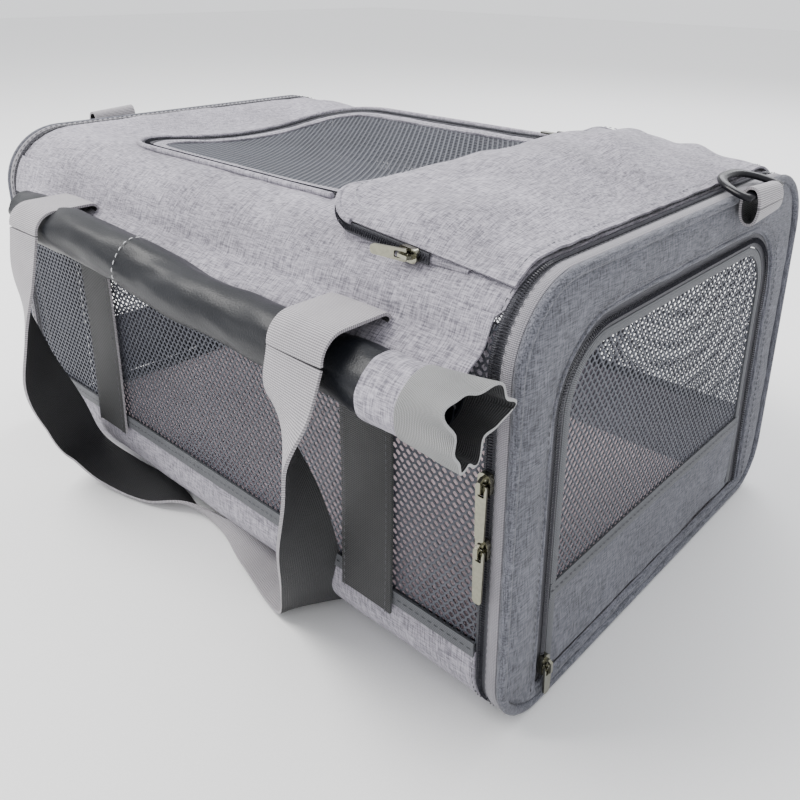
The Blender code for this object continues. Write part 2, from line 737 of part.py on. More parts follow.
def make_rings():
    make_ring("near", 1, 0.066, NEAR_BAR_Z, RING_REST_TILT)
    make_ring("far", -1, -0.066, FAR_BAR_Z, -math.pi / 2)


def build():
    clear_scene()
    make_body()
    make_top()
    make_inside()
    make_pocket()
    make_end("near", 1)
    make_end("far", -1)
    make_webbing("front", -1, FRONT_LEGS_X)
    make_webbing("rear", 1, REAR_LEGS_X)
    make_handle("front", -1, FRONT_LEGS_X)
    make_handle("rear", 1, REAR_LEGS_X)
    make_curtain("front", -1, FRONT_ROLL_X, COATED_CLOTH)
    make_curtain("rear", 1, REAR_ROLL_X, LIGHT_HEATHER)
    make_rings()
    make_sliders()


build()
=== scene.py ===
"""Looks of the soft-sided pet carrier bag: cloth, netting, zips, webbing, curtains, pad, light and camera."""
import json
import math

import bmesh
import bpy
from mathutils import Matrix, Vector, noise

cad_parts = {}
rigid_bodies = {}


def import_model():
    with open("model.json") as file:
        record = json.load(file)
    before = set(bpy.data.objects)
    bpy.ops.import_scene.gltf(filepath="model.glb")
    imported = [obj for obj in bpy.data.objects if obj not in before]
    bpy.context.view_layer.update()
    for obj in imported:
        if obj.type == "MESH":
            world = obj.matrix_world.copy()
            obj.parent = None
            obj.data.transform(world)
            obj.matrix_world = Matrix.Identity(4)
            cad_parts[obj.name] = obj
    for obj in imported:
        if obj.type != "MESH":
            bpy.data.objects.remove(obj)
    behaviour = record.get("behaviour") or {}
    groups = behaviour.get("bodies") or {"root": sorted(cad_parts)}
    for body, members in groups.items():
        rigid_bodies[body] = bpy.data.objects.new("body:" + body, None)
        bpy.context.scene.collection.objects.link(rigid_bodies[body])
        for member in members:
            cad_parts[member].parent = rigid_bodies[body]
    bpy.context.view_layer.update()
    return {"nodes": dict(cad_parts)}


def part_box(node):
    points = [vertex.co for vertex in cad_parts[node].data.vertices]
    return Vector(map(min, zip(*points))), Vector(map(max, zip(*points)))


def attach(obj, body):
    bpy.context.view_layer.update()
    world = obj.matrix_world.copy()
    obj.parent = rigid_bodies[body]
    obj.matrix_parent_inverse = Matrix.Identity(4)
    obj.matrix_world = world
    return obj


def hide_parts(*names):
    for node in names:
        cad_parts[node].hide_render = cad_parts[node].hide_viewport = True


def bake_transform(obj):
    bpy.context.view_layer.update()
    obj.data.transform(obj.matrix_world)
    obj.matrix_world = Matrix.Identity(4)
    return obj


for leftover in list(bpy.data.objects):
    bpy.data.objects.remove(leftover)

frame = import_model()

# ---------------------------------------------------------------- sizes, from the frame
HALF_WIDTH = -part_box("front_mesh")[0].y
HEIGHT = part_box("top_panel")[1].z
BODY_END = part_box("top_panel")[1].x
TOP_RADIUS = 0.045
BOTTOM_RADIUS = 0.034
BAND_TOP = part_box("front_lower_band")[1].z
SEAM_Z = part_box("front_mesh")[1].z
DOOR_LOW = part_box("near_door_lower_band")[0].z
DOOR_BAND_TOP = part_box("near_door_lower_band")[1].z
OPENING_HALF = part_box("near_door_zip")[1].y
OPENING_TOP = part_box("near_door_zip")[1].z
OPENING_RADIUS = 0.045
WINDOW_FAR, WINDOW_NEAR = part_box("top_door_zip")[0].x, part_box("top_door_zip")[1].x
WINDOW_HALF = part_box("top_door_zip")[1].y
WINDOW_RADIUS = 0.050
HINGE_CORNER = 0.008        # the window's small corners beside its hinge
POCKET_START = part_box("pocket_lid")[0].x
POCKET_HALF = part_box("pocket_lid")[1].y
ROLL_LOW, ROLL_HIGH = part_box("front_curtain_roll")
ROLL_RADIUS = (ROLL_HIGH.z - ROLL_LOW.z) / 2
ROLL_Z = (ROLL_HIGH.z + ROLL_LOW.z) / 2
ROLL_Y = -(ROLL_HIGH.y + ROLL_LOW.y) / 2
WEBBING = 0.038
FRONT_LEGS = (-0.118, 0.157)    # where the webbing crosses the front side, along x
REAR_LEGS = (-0.190, 0.085)
FABRIC = 0.0012                 # thickness of the body's cloth
QUARTER = math.pi / 2
UP = Vector((0, 0, 1))


# ---------------------------------------------------------------- materials
class Nodes:
    """A material's node tree, with short ways to add and join nodes."""

    def __init__(self, name, roughness, metallic=0.0, sheen=0.0, specular=0.5):
        self.material = bpy.data.materials.new(name)
        self.material.use_nodes = True
        self.tree = self.material.node_tree
        self.shader = self.tree.nodes["Principled BSDF"]
        for socket, value in (("Roughness", roughness), ("Metallic", metallic), ("Sheen Weight", sheen),
                              ("Sheen Roughness", 0.5), ("Specular IOR Level", specular)):
            self.shader.inputs[socket].default_value = value

    def add(self, kind, **values):
        """A node, with its properties and its sockets' values set by name."""
        node = self.tree.nodes.new(kind)
        for key, value in values.items():
            if hasattr(node, key):
                setattr(node, key, value)
            else:
                node.inputs[key].default_value = value
        return node

    def link(self, source, target):
        self.tree.links.new(source, target)

    def coordinates(self, scale, attribute=None):
        """Object coordinates, or a mesh attribute's, times a scale along each axis."""
        stretch = self.add("ShaderNodeMapping", Scale=scale)
        if attribute:
            source = self.add("ShaderNodeAttribute", attribute_name=attribute).outputs["Vector"]
        else:
            source = self.add("ShaderNodeTexCoord").outputs["Object"]
        self.link(source, stretch.inputs["Vector"])
        return stretch.outputs["Vector"]

    def noise(self, scale, detail=2.0):
        node = self.add("ShaderNodeTexNoise", Scale=1.0, Detail=detail)
        self.link(self.coordinates(scale), node.inputs["Vector"])
        return node.outputs["Fac"]

    def wave(self, scale, attribute, direction, distortion):
        node = self.add("ShaderNodeTexWave", bands_direction=direction, wave_profile="SIN",
                        Scale=1.0, Distortion=distortion, Detail=1.0)
        self.link(self.coordinates(scale, attribute), node.inputs["Vector"])
        return node.outputs["Fac"]

    def math(self, operation, first, second):
        node = self.add("ShaderNodeMath", operation=operation)
        for socket, value in zip(node.inputs, (first, second)):
            if isinstance(value, (int, float)):
                socket.default_value = value
            else:
                self.link(value, socket)
        return node.outputs[0]

    def ramp(self, factor, low, high, start, end):
        """The low colour up to the factor start, blending to the high colour at end."""
        node = self.add("ShaderNodeValToRGB")
        for stop, color, position in zip(node.color_ramp.elements, (low, high), (start, end)):
            stop.position = position
            stop.color = (*color, 1.0)
        self.link(factor, node.inputs["Fac"])
        return node.outputs["Color"]

    def shade(self, color, factor, low, high):
        """The colour made darker or lighter where the factor is low or high."""
        tone = self.ramp(factor, (low,) * 3, (high,) * 3, 0.3, 0.7)
        node = self.add("ShaderNodeMix", data_type="RGBA", blend_type="MULTIPLY")
        node.inputs[0].default_value = 1.0
        self.link(color, node.inputs[6])
        self.link(tone, node.inputs[7])
        return node.outputs[2]

    def bump(self, height, distance, strength, below=None):
        node = self.add("ShaderNodeBump", Strength=strength, Distance=distance)
        self.link(height, node.inputs["Height"])
        if below:
            self.link(below, node.inputs["Normal"])
        return node.outputs["Normal"]

    def finish(self, color, normal):
        self.link(color, self.shader.inputs["Base Color"])
        self.link(normal, self.shader.inputs["Normal"])
        return self.material


def heather(name, dark, light, across_end=False):
    """Two-tone cloth: dark and light threads that show as short streaks both ways of the weave."""
    cloth = Nodes(name, 0.92, sheen=0.12)
    long, thin = 150.0, 1500.0
    if across_end:
        warp = cloth.noise((thin, long, thin), 3.0)
        weft = cloth.noise((thin, thin, long), 3.0)
    else:
        warp = cloth.noise((long, thin, thin), 3.0)
        weft = cloth.noise((thin, long, long), 3.0)
    both = cloth.math("MULTIPLY", cloth.math("ADD", warp, weft), 0.5)
    color = cloth.ramp(both, dark, light, 0.38, 0.62)
    color = cloth.shade(color, cloth.noise((11, 30, 30)), 0.84, 1.10)
    weave = cloth.noise((2600, 2600, 2600), 1.0)
    normal = cloth.bump(both, 0.0005, 0.7, cloth.bump(weave, 0.0003, 0.6))
    return cloth.finish(color, normal)


def ribbed(name, dark, light, rib=0.0012, sheen=0.15):
    """Woven webbing: ribs across the strap, with the finer ends of the warp running along it."""
    strap = Nodes(name, 0.62, sheen=sheen)
    turns = 2 * math.pi / rib / 20
    ribs = strap.wave((turns, 1, 1), "strand", "X", 0.15)
    warp = strap.wave((1, turns * 0.9, 1), "strand", "Y", 0.2)
    color = strap.ramp(ribs, dark, light, 0.15, 0.75)
    color = strap.shade(color, warp, 0.88, 1.05)
    color = strap.shade(color, strap.noise((60, 25, 60)), 0.93, 1.05)
    height = strap.math("ADD", strap.math("MULTIPLY", ribs, 0.7), strap.math("MULTIPLY", warp, 0.3))
    return strap.finish(color, strap.bump(height, 0.0005, 0.9))


def plain_cloth(name, color, roughness=0.85, grain=1800.0, sheen=0.1, depth=0.0002, specular=0.5):
    """Cloth of one colour with a fine grain and slight changes of tone."""
    cloth = Nodes(name, roughness, sheen=sheen, specular=specular)
    fine = cloth.noise((grain, grain, grain), 2.0)
    tone = cloth.ramp(fine, [c * 0.8 for c in color], [c * 1.15 for c in color], 0.35, 0.65)
    tone = cloth.shade(tone, cloth.noise((22, 22, 22)), 0.88, 1.08)
    return cloth.finish(tone, cloth.bump(fine, depth, 0.7))


def metal(name, color, roughness):
    """Plated metal with fine wear in its tone and surface."""
    plate = Nodes(name, roughness, metallic=1.0)
    wear = plate.noise((500, 500, 500), 3.0)
    tone = plate.ramp(wear, [c * 0.86 for c in color], color, 0.35, 0.6)
    return plate.finish(tone, plate.bump(wear, 0.00008, 0.4))


def moulded(name, color):
    """Smooth plastic with a slight grain."""
    plastic = Nodes(name, 0.24, specular=0.22)
    grain = plastic.noise((420, 420, 420), 2.0)
    tone = plastic.ramp(grain, color, [c * 1.4 for c in color], 0.4, 0.6)
    return plastic.finish(tone, plastic.bump(grain, 0.00008, 0.5))


HEATHER = heather("heather_long", (0.125, 0.118, 0.145), (0.45, 0.425, 0.485))
# The ends' heather is a darker copy of the long sides' heather: painted shade on the end faces, panels, door bands
# and piping, which stand in shade
HEATHER_END_SHADED = heather("heather_end_shaded", (0.034, 0.036, 0.046), (0.165, 0.168, 0.200), across_end=True)
NET = plain_cloth("netting", (0.060, 0.064, 0.082), roughness=0.6, sheen=0.03)
LIGHT_WEB = ribbed("webbing_light", (0.20, 0.19, 0.205), (0.46, 0.435, 0.46))
DARK_WEB = ribbed("webbing_dark", (0.010, 0.010, 0.011), (0.040, 0.041, 0.043), sheen=0.02)
# A darker copy of the light webbing: painted shade for the front's near strip, which lies in shade
SHADED_SIDE_WEB = ribbed("webbing_side_shaded", (0.025, 0.027, 0.027), (0.075, 0.08, 0.079), rib=0.0010, sheen=0.03)
BINDING = ribbed("binding", (0.16, 0.155, 0.175), (0.33, 0.315, 0.35), rib=0.0009)
GREY_BINDING = ribbed("grey_binding", (0.055, 0.058, 0.065), (0.13, 0.135, 0.15), rib=0.0010, sheen=0.05)
ZIP_TAPE = ribbed("zip_tape", (0.03, 0.03, 0.038), (0.08, 0.08, 0.095), rib=0.0010, sheen=0.03)
ZIP_COIL = moulded("zip_coil", (0.035, 0.035, 0.042))
COATED = plain_cloth("coated_lining", (0.006, 0.007, 0.010), roughness=0.40, grain=900.0, sheen=0.0, specular=0.3)
CURTAIN_LIGHT = heather("curtain_light", (0.20, 0.19, 0.22), (0.60, 0.57, 0.62))
PLUSH = plain_cloth("plush", (0.86, 0.69, 0.73), roughness=0.95, grain=700.0, sheen=0.4, depth=0.0012)
BOARD = plain_cloth("board", (0.05, 0.05, 0.055), roughness=0.6)
MOUTH = ribbed("roll_mouth", (0.14, 0.143, 0.14), (0.32, 0.322, 0.325), rib=0.0009)
PALE_THREAD = plain_cloth("pale_thread", (0.75, 0.75, 0.77), roughness=0.6)
THREAD = plain_cloth("thread", (0.40, 0.40, 0.44), roughness=0.6)
DARK_THREAD = plain_cloth("dark_thread", (0.07, 0.07, 0.08), roughness=0.6)
GUNMETAL = metal("gunmetal", (0.27, 0.265, 0.21), 0.16)
WIRE = metal("wire", (0.50, 0.51, 0.53), 0.35)
BLACK = moulded("black_plastic", (0.006, 0.006, 0.008))


# ---------------------------------------------------------------- mesh building
def stand_for(nodes):
    """The piece takes the place of CAD nodes, which it hides."""
    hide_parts(*nodes)


def add_piece(name, verts, faces, material, body, replaces=(), strand=None, second=None, lined=None):
    """A mesh as a piece that rides on a body. The faces of the lined range take the second material."""
    mesh = bpy.data.meshes.new(name)
    mesh.from_pydata([tuple(v) for v in verts], [], faces)
    mesh.materials.append(material)
    if second:
        mesh.materials.append(second)
        for polygon in list(mesh.polygons)[lined[0]:lined[1]]:
            polygon.material_index = 1
    if strand:
        layer = mesh.attributes.new("strand", "FLOAT_VECTOR", "POINT")
        layer.data.foreach_set("vector", [c for s in strand for c in s])
    bm = bmesh.new()
    bm.from_mesh(mesh)
    bmesh.ops.recalc_face_normals(bm, faces=bm.faces)
    bm.to_mesh(mesh)
    bm.free()
    mesh.shade_smooth()
    mesh.set_sharp_from_angle(angle=math.radians(50))
    piece = bpy.data.objects.new(name, mesh)
    bpy.context.collection.objects.link(piece)
    if body:
        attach(piece, body)
    if replaces:
        stand_for(replaces)
    return piece


def ripple(point, amount, scale):
    """Soft unevenness of cloth, the same at every run."""
    return amount * noise.noise(point * scale) + amount * 0.4 * noise.noise(point * scale * 2.7)


def cloth(name, rows, thickness, material, body, replaces=(), closed=False, relief=None, inner=None):
    """A sheet with thickness through a grid of points, whose outer face is on the side of the rows' normal.

    Relief lifts each point along that normal. The inner face may have a material of its own.
    """
    count, across = len(rows), len(rows[0])
    normals = []
    for i in range(count):
        line = []
        for j in range(across):
            if closed:
                along = rows[(i + 1) % count][j] - rows[i - 1][j]
            else:
                along = rows[min(i + 1, count - 1)][j] - rows[max(i - 1, 0)][j]
            side = rows[i][min(j + 1, across - 1)] - rows[i][max(j - 1, 0)]
            line.append(along.cross(side).normalized())
        normals.append(line)
    middle = across // 2
    travelled = [0.0]
    for first, second in zip(rows, rows[1:]):
        travelled.append(travelled[-1] + (second[middle] - first[middle]).length)
    upper, under, strand = [], [], []
    for i in range(count):
        reach = 0.0
        for j in range(across):
            if j:
                reach += (rows[i][j] - rows[i][j - 1]).length
            lift = relief(rows[i][j], i / (count - 1), j / (across - 1)) if relief else 0.0
            top = rows[i][j] + normals[i][j] * lift
            upper.append(top)
            under.append(top - normals[i][j] * thickness)
            strand.append((travelled[i], reach, 0.0))
    size = count * across
    spans = count if closed else count - 1
    faces = []
    for base in (0, size):
        for i in range(spans):
            for j in range(across - 1):
                a, b = i * across + j, ((i + 1) % count) * across + j
                faces.append((base + a, base + b, base + b + 1, base + a + 1))
    single = spans * (across - 1)
    for i in range(spans):
        for j in (0, across - 1):
            a, b = i * across + j, ((i + 1) % count) * across + j
            faces.append((a, b, b + size, a + size))
    if not closed:
        for i in (0, count - 1):
            for j in range(across - 1):
                a = i * across + j
                faces.append((a, a + 1, a + 1 + size, a + size))
    return add_piece(name, upper + under, faces, material, body, replaces, strand * 2,
                     inner, (single, 2 * single))


def square_to(travel, way):
    """The part of a direction that is square to the direction of travel."""
    return (way - travel * way.dot(travel)).normalized()


def frames_along(points, closed=False, up=UP):
    """Travel, side and up directions at each point of a route, turning as little as possible."""
    count = len(points)
    frames = []
    lead = Vector(up)
    for i in range(count):
        before = points[i - 1] if closed or i else points[0]
        after = points[(i + 1) % count] if closed or i < count - 1 else points[-1]
        travel = (after - before).normalized()
        lead = square_to(travel, lead)
        frames.append((travel, travel.cross(lead), lead.copy()))
    return frames


def ring(centre, side, lead, wide, high, sides):
    """Corners of an oval ring round a point."""
    angles = spread(0, 2 * math.pi, sides)[:-1]
    return [centre + side * (math.cos(a) * wide) + lead * (math.sin(a) * high) for a in angles]


def ring_faces(count, sides, closed):
    """Faces that join rings into a tube, with flat ends where it isn't closed."""
    faces = []
    for i in range(count if closed else count - 1):
        here, there = i * sides, (i + 1) % count * sides
        for k in range(sides):
            m = (k + 1) % sides
            faces.append((here + k, there + k, there + m, here + m))
    if not closed:
        faces.append(tuple(range(sides)))
        faces.append(tuple(range((count - 1) * sides, count * sides)))
    return faces


def tube(name, points, radius, material, body, replaces=(), closed=False, sides=12, up=UP):
    """A round cord through the points."""
    verts, strand = [], []
    travelled = 0.0
    for i, (point, (_, side, lead)) in enumerate(zip(points, frames_along(points, closed, up))):
        travelled += (point - points[i - 1]).length if i else 0.0
        verts += ring(point, side, lead, radius, radius, sides)
        strand += [(travelled, 2 * math.pi * k / sides * radius, 0.0) for k in range(sides)]
    return add_piece(name, verts, ring_faces(len(points), sides, closed), material, body, replaces, strand)


def resample(points, step, closed=False):
    """Points an even step apart along a route of straight pieces."""
    route = list(points) + ([points[0]] if closed else [])
    lengths = [(b - a).length for a, b in zip(route, route[1:])]
    total = sum(lengths)
    count = max(2, round(total / step))
    made, piece, passed = [], 0, 0.0
    for k in range(count if closed else count + 1):
        goal = min(total * k / count, total - 1e-9)
        while piece < len(lengths) - 1 and passed + lengths[piece] < goal:
            passed += lengths[piece]
            piece += 1
        share = (goal - passed) / max(lengths[piece], 1e-9)
        made.append(route[piece].lerp(route[piece + 1], share))
    return made


COIL_PITCH = 0.0015
COIL_WIRE = 0.00034
COIL_WIDE, COIL_HIGH = 0.0016, 0.0007       # half of the coil's width and height
COIL_STEPS = 6                              # points in each turn


def coil(name, points, out, material, body, closed=False):
    """A zip's coil: one long helix that follows the route. out gives the outward direction at a point."""
    route = resample(points, COIL_PITCH / COIL_STEPS, closed)
    centres = []
    for i, (point, (travel, _, _)) in enumerate(zip(route, frames_along(route, closed, out(route[0])))):
        lead = square_to(travel, out(point))
        angle = 2 * math.pi * i / COIL_STEPS
        centres.append(point + travel.cross(lead) * math.cos(angle) * COIL_WIDE
                       + lead * (math.sin(angle) + 1) * COIL_HIGH)
    verts = []
    for centre, (_, side, lead) in zip(centres, frames_along(centres, closed)):
        verts += ring(centre, side, lead, COIL_WIRE, COIL_WIRE, 3)
    return add_piece(name, verts, ring_faces(len(centres), 3, closed), material, body)


STITCH, STITCH_GAP, STITCH_RADIUS = 0.0030, 0.0014, 0.00032


def stitches(name, points, out, material, body, closed=False):
    """A row of sewn stitches, each a small pointed capsule that lies on the cloth."""
    route = resample(points, STITCH + STITCH_GAP, closed)
    verts, faces = [], []
    for first, second in zip(route, route[1:]):
        travel = (second - first).normalized()
        lead = square_to(travel, out(first))
        side = travel.cross(lead)
        base = len(verts)
        verts.append(first - lead * STITCH_RADIUS * 0.5)
        for share in (0.25, 0.75):
            for way in (side, lead, -side, -lead):
                verts.append(first + travel * STITCH * share + way * STITCH_RADIUS + lead * STITCH_RADIUS * 0.4)
        verts.append(first + travel * STITCH - lead * STITCH_RADIUS * 0.5)
        for k in range(4):
            m = (k + 1) % 4
            faces.append((base, base + 1 + k, base + 1 + m))
            faces.append((base + 1 + k, base + 5 + k, base + 5 + m, base + 1 + m))
            faces.append((base + 9, base + 5 + m, base + 5 + k))
    return add_piece(name, verts, faces, material, body)


NET_ACROSS, NET_DOWN = 0.0048, 0.0033     # steps from hole to hole, and from row to row
NET_HOLE = 0.71                           # a hole's share of its cell
NET_SKIN = 0.0006


def netting(name, place, width, height, body, replaces=(), inside=None):
    """Cloth netting with staggered six-sided holes, over a width and height that place() puts in space.

    Its outline is where inside() says, or else the whole rectangle.
    """
    half, down = NET_ACROSS / 2, NET_DOWN
    shoulder = (down**2 - half**2) / (2 * down)
    peak = (down**2 + half**2) / (2 * down)
    corners = [(0, peak), (half, shoulder), (half, -shoulder), (0, -peak), (-half, -shoulder), (-half, shoulder)]
    verts, faces, known = [], [], {}

    def kept_in(u, v):
        return min(max(u, 0.0), width), min(max(v, 0.0), height)

    def vertex(u, v):
        u, v = kept_in(u, v)
        key = (round(u * 1e5), round(v * 1e5))
        if key not in known:
            known[key] = len(verts)
            verts.append(place(u, v))
        return known[key]

    for row in range(int(height / down) + 2):
        for column in range(int(width / NET_ACROSS) + 2):
            u = column * NET_ACROSS + (row % 2) * half
            v = row * down
            if u > width + half * 0.5 or v > height + down * 0.3:
                continue
            if inside and not inside(u, v):
                continue
            outer = [vertex(u + a, v + b) for a, b in corners]
            first = len(verts)
            for a, b in corners:
                verts.append(place(*kept_in(u + a * NET_HOLE, v + b * NET_HOLE)))
            for k in range(6):
                m = (k + 1) % 6
                quad = (outer[k], outer[m], first + m, first + k)
                if len(set(quad)) == 4:
                    faces.append(quad)
    piece = add_piece(name, verts, faces, NET, None)
    bm = bmesh.new()
    bm.from_mesh(piece.data)
    bmesh.ops.remove_doubles(bm, verts=bm.verts, dist=1e-6)
    bmesh.ops.dissolve_degenerate(bm, dist=1e-6, edges=bm.edges)
    bm.to_mesh(piece.data)
    bm.free()
    thicken = piece.modifiers.new("strands", "SOLIDIFY")
    thicken.thickness = NET_SKIN
    thicken.offset = 0.0
    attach(piece, body)
    if replaces:
        stand_for(replaces)
    return piece


def smooth_route(points, steps):
    """Points on a smooth curve through the given ones."""
    knots = [Vector(p) for p in points]
    knots = [2 * knots[0] - knots[1]] + knots + [2 * knots[-1] - knots[-2]]
    route = []
    for before, here, after, beyond in zip(knots, knots[1:], knots[2:], knots[3:]):
        for step in range(steps):
            t = step / steps
            pull = (after - before) * t + (2 * before - 5 * here + 4 * after - beyond) * t**2
            pull += (3 * here - before - 3 * after + beyond) * t**3
            route.append(here + pull / 2)
    route.append(knots[-2])
    return route


# ---------------------------------------------------------------- the bag's section and its sag
# distances round the section, from the base's middle to the front and up to the top's middle
LOW_RUN = HALF_WIDTH - BOTTOM_RADIUS
LOW_ARC = LOW_RUN + QUARTER * BOTTOM_RADIUS
SIDE_RUN = LOW_ARC + HEIGHT - TOP_RADIUS - BOTTOM_RADIUS
TOP_ARC = SIDE_RUN + QUARTER * TOP_RADIUS
HALF_LOOP = TOP_ARC + HALF_WIDTH - TOP_RADIUS
SEAM_TURN = math.asin((SEAM_Z - HEIGHT + TOP_RADIUS) / TOP_RADIUS)
SEAM_RUN = SIDE_RUN + TOP_RADIUS * SEAM_TURN
BAND_RUN = LOW_ARC + BAND_TOP - BOTTOM_RADIUS
BASE_RUN = LOW_RUN + 0.018      # where the base's cloth meets the lower bands
FLAT_HALF = HALF_WIDTH - TOP_RADIUS
CORE_TOP = HEIGHT - TOP_RADIUS


def section(t):
    """Point (y, z) and outward normal at a distance round the section."""
    t = t % (2 * HALF_LOOP)
    if t > HALF_LOOP:
        (y, z), (out_y, out_z) = section(2 * HALF_LOOP - t)
        return (-y, z), (-out_y, out_z)
    if t <= LOW_RUN:
        return (-t, 0.0), (0.0, -1.0)
    if t <= LOW_ARC:
        angle = (t - LOW_RUN) / BOTTOM_RADIUS
        out = (-math.sin(angle), -math.cos(angle))
        return (-LOW_RUN + out[0] * BOTTOM_RADIUS, BOTTOM_RADIUS + out[1] * BOTTOM_RADIUS), out
    if t <= SIDE_RUN:
        return (-HALF_WIDTH, BOTTOM_RADIUS + t - LOW_ARC), (-1.0, 0.0)
    if t <= TOP_ARC:
        angle = (t - SIDE_RUN) / TOP_RADIUS
        out = (-math.cos(angle), math.sin(angle))
        return (-FLAT_HALF + out[0] * TOP_RADIUS, CORE_TOP + out[1] * TOP_RADIUS), out
    return (-FLAT_HALF + t - TOP_ARC, HEIGHT), (0.0, 1.0)


def ease(value, low, high):
    """From 0 at low to 1 at high, with soft ends."""
    share = min(max((value - low) / (high - low), 0.0), 1.0)
    return share * share * (3 - 2 * share)


SAG = 0.0120
SAG_HALF = 0.125


def top_sag(x, y):
    """How far the unsupported top hangs down between the far end and the pocket."""
    if abs(y) >= SAG_HALF:
        return 0.0
    along = ease(x, -0.236, -0.180) * (1 - ease(x, 0.03, 0.100))
    return SAG * along * max(0.0, math.cos(QUARTER * y / SAG_HALF)) ** 1.3


def shell_point(x, t, lift=0.0):
    """A point on the shell at x and a distance round the section, lifted outwards. The walls draw in a little."""
    (y, z), (out_y, out_z) = section(t)
    inward = 0.0
    if z < 0.2:
        inward = 0.0025 * math.cos(math.pi * x / 0.47) * max(0.0, math.sin(math.pi * (z - 0.03) / 0.17))
    point = Vector((x, y + out_y * (lift - inward * abs(out_y)), z + out_z * lift))
    point.z -= top_sag(x, y) * max(out_z, 0.0)
    return point


def top_point(x, y, lift=0.0):
    """A point on the shell's upper side above (x, y)."""
    over = abs(y) - FLAT_HALF
    z = HEIGHT if over <= 0 else CORE_TOP + math.sqrt(max(TOP_RADIUS**2 - over**2, 0.0))
    return Vector((x, y, z + lift - top_sag(x, y)))


def spread(low, high, count):
    """The values from low to high in even steps."""
    return [low + (high - low) * k / count for k in range(count + 1)]


def shell_rows(xs, start, end, count, lift):
    """Rows along the shell, from one distance round the section to another."""
    return [[shell_point(x, t, lift) for x in xs] for t in spread(start, end, count)]


def loop_points(x, lift, count=220):
    """Points all the way round the section."""
    return [shell_point(x, 2 * HALF_LOOP * k / count, lift) for k in range(count)]


def section_out(point):
    """The direction straight out of the section at a point near its surface."""
    core_y = min(max(point.y, -FLAT_HALF), FLAT_HALF)
    core_z = min(max(point.z, BOTTOM_RADIUS), CORE_TOP)
    out = Vector((0.0, point.y - core_y, point.z - core_z))
    return out.normalized() if out.length > 1e-6 else Vector((0, 0, 1 if point.z > HEIGHT / 2 else -1))


def up_way(_):
    return UP


def rippled(amount, scale):
    """Relief that is only soft unevenness."""
    return lambda p, u, v: ripple(p, amount, scale)


def crowned(amount):
    """Relief that rises to the middle of each row."""
    return lambda p, u, v: amount * math.sin(math.pi * v)


def corner(x, y, radius, turn, count=14):
    """Points of a quarter turn clockwise round (x, y) from a number of quarter turns, without the first."""
    return [(x + radius * math.cos(a), y + radius * math.sin(a))
            for a in spread(turn * QUARTER, (turn - 1) * QUARTER, count)][1:]


def between(outer, inner, steps, place):
    """Rows of points across the strip from one outline to another."""
    return [[place(a + (c - a) * k / steps, b + (d - b) * k / steps) for k in range(steps + 1)]
            for (a, b), (c, d) in zip(outer, inner)]


def turned(rows, turn):
    """The rows, each from its other end where turn is true, so that the cloth's outer face is outside."""
    return [row[::-1] for row in rows] if turn else rows


def within(first, second, radius, edge):
    """Whether a point this far from two sides is at least an edge inside them and their rounded corner."""
    if min(first, second) < edge - 1e-6:
        return False
    return max(first, second) >= radius or math.hypot(first - radius, second - radius) < radius - edge


def make_sides():
    """Base, lower bands and netting of the two long sides."""
    xs = spread(-BODY_END, BODY_END, 90)
    cloth("base_cloth", shell_rows(xs, BASE_RUN, -BASE_RUN, 50, -0.0002), FABRIC, HEATHER, "shell",
          ["bottom_panel"], relief=lambda p, u, v: -abs(ripple(p, 0.0006, 30)) * 0.5)
    for side, way in (("front", 1), ("rear", -1)):
        lower = shell_rows(xs, way * BASE_RUN, way * BAND_RUN, 16, -0.0004)[::-way]
        cloth(side + "_band_cloth", lower, FABRIC, HEATHER, "shell", [side + "_lower_band"],
              relief=rippled(0.0007, 28))

        def place(u, v):
            return shell_point(-BODY_END + u, way * (BAND_RUN + v), -0.0018)

        netting(side + "_netting", place, 2 * BODY_END, SEAM_RUN - BAND_RUN, "shell", [side + "_mesh"])
        rows = shell_rows(xs, way * (BAND_RUN + 0.007), way * (BAND_RUN - 0.002), 3, 0.0011)[::way]
        cloth(side + "_band_binding", rows, 0.0011, GREY_BINDING, "shell")
        row = [shell_point(x, way * (BAND_RUN + 0.0025), 0.0012) for x in xs]
        stitches(side + "_band_stitches", row, section_out, DARK_THREAD, "shell")


def window_loop(inset, count=40):
    """The top window's outline as (x, y), drawn in by an inset, all the way round from the hinge side."""
    half = WINDOW_HALF - inset
    radius = WINDOW_RADIUS - inset
    far, near = WINDOW_FAR + WINDOW_RADIUS, WINDOW_NEAR - HINGE_CORNER
    side, end = half - radius, half - HINGE_CORNER
    points = [(WINDOW_NEAR, y) for y in spread(end, -end, count)]
    points += corner(near, -end, HINGE_CORNER, 0, 4)
    points += [(x, -half) for x in spread(near, far, count)][1:]
    points += corner(far, -side, radius, -1)
    points += [(far - radius, y) for y in spread(-side, side, count // 2)][1:]
    points += corner(far, side, radius, 2)
    points += [(x, half) for x in spread(far, near, count)][1:]
    return points + corner(near, end, HINGE_CORNER, 1, 4)[:-1]


def top_run(y):
    """Distance round the section of the upper surface at y."""
    over = abs(y) - FLAT_HALF
    if over <= 0:
        return TOP_ARC + y + FLAT_HALF
    run = TOP_ARC - TOP_RADIUS * math.asin(min(over / TOP_RADIUS, 1.0))
    return run if y < 0 else 2 * HALF_LOOP - run


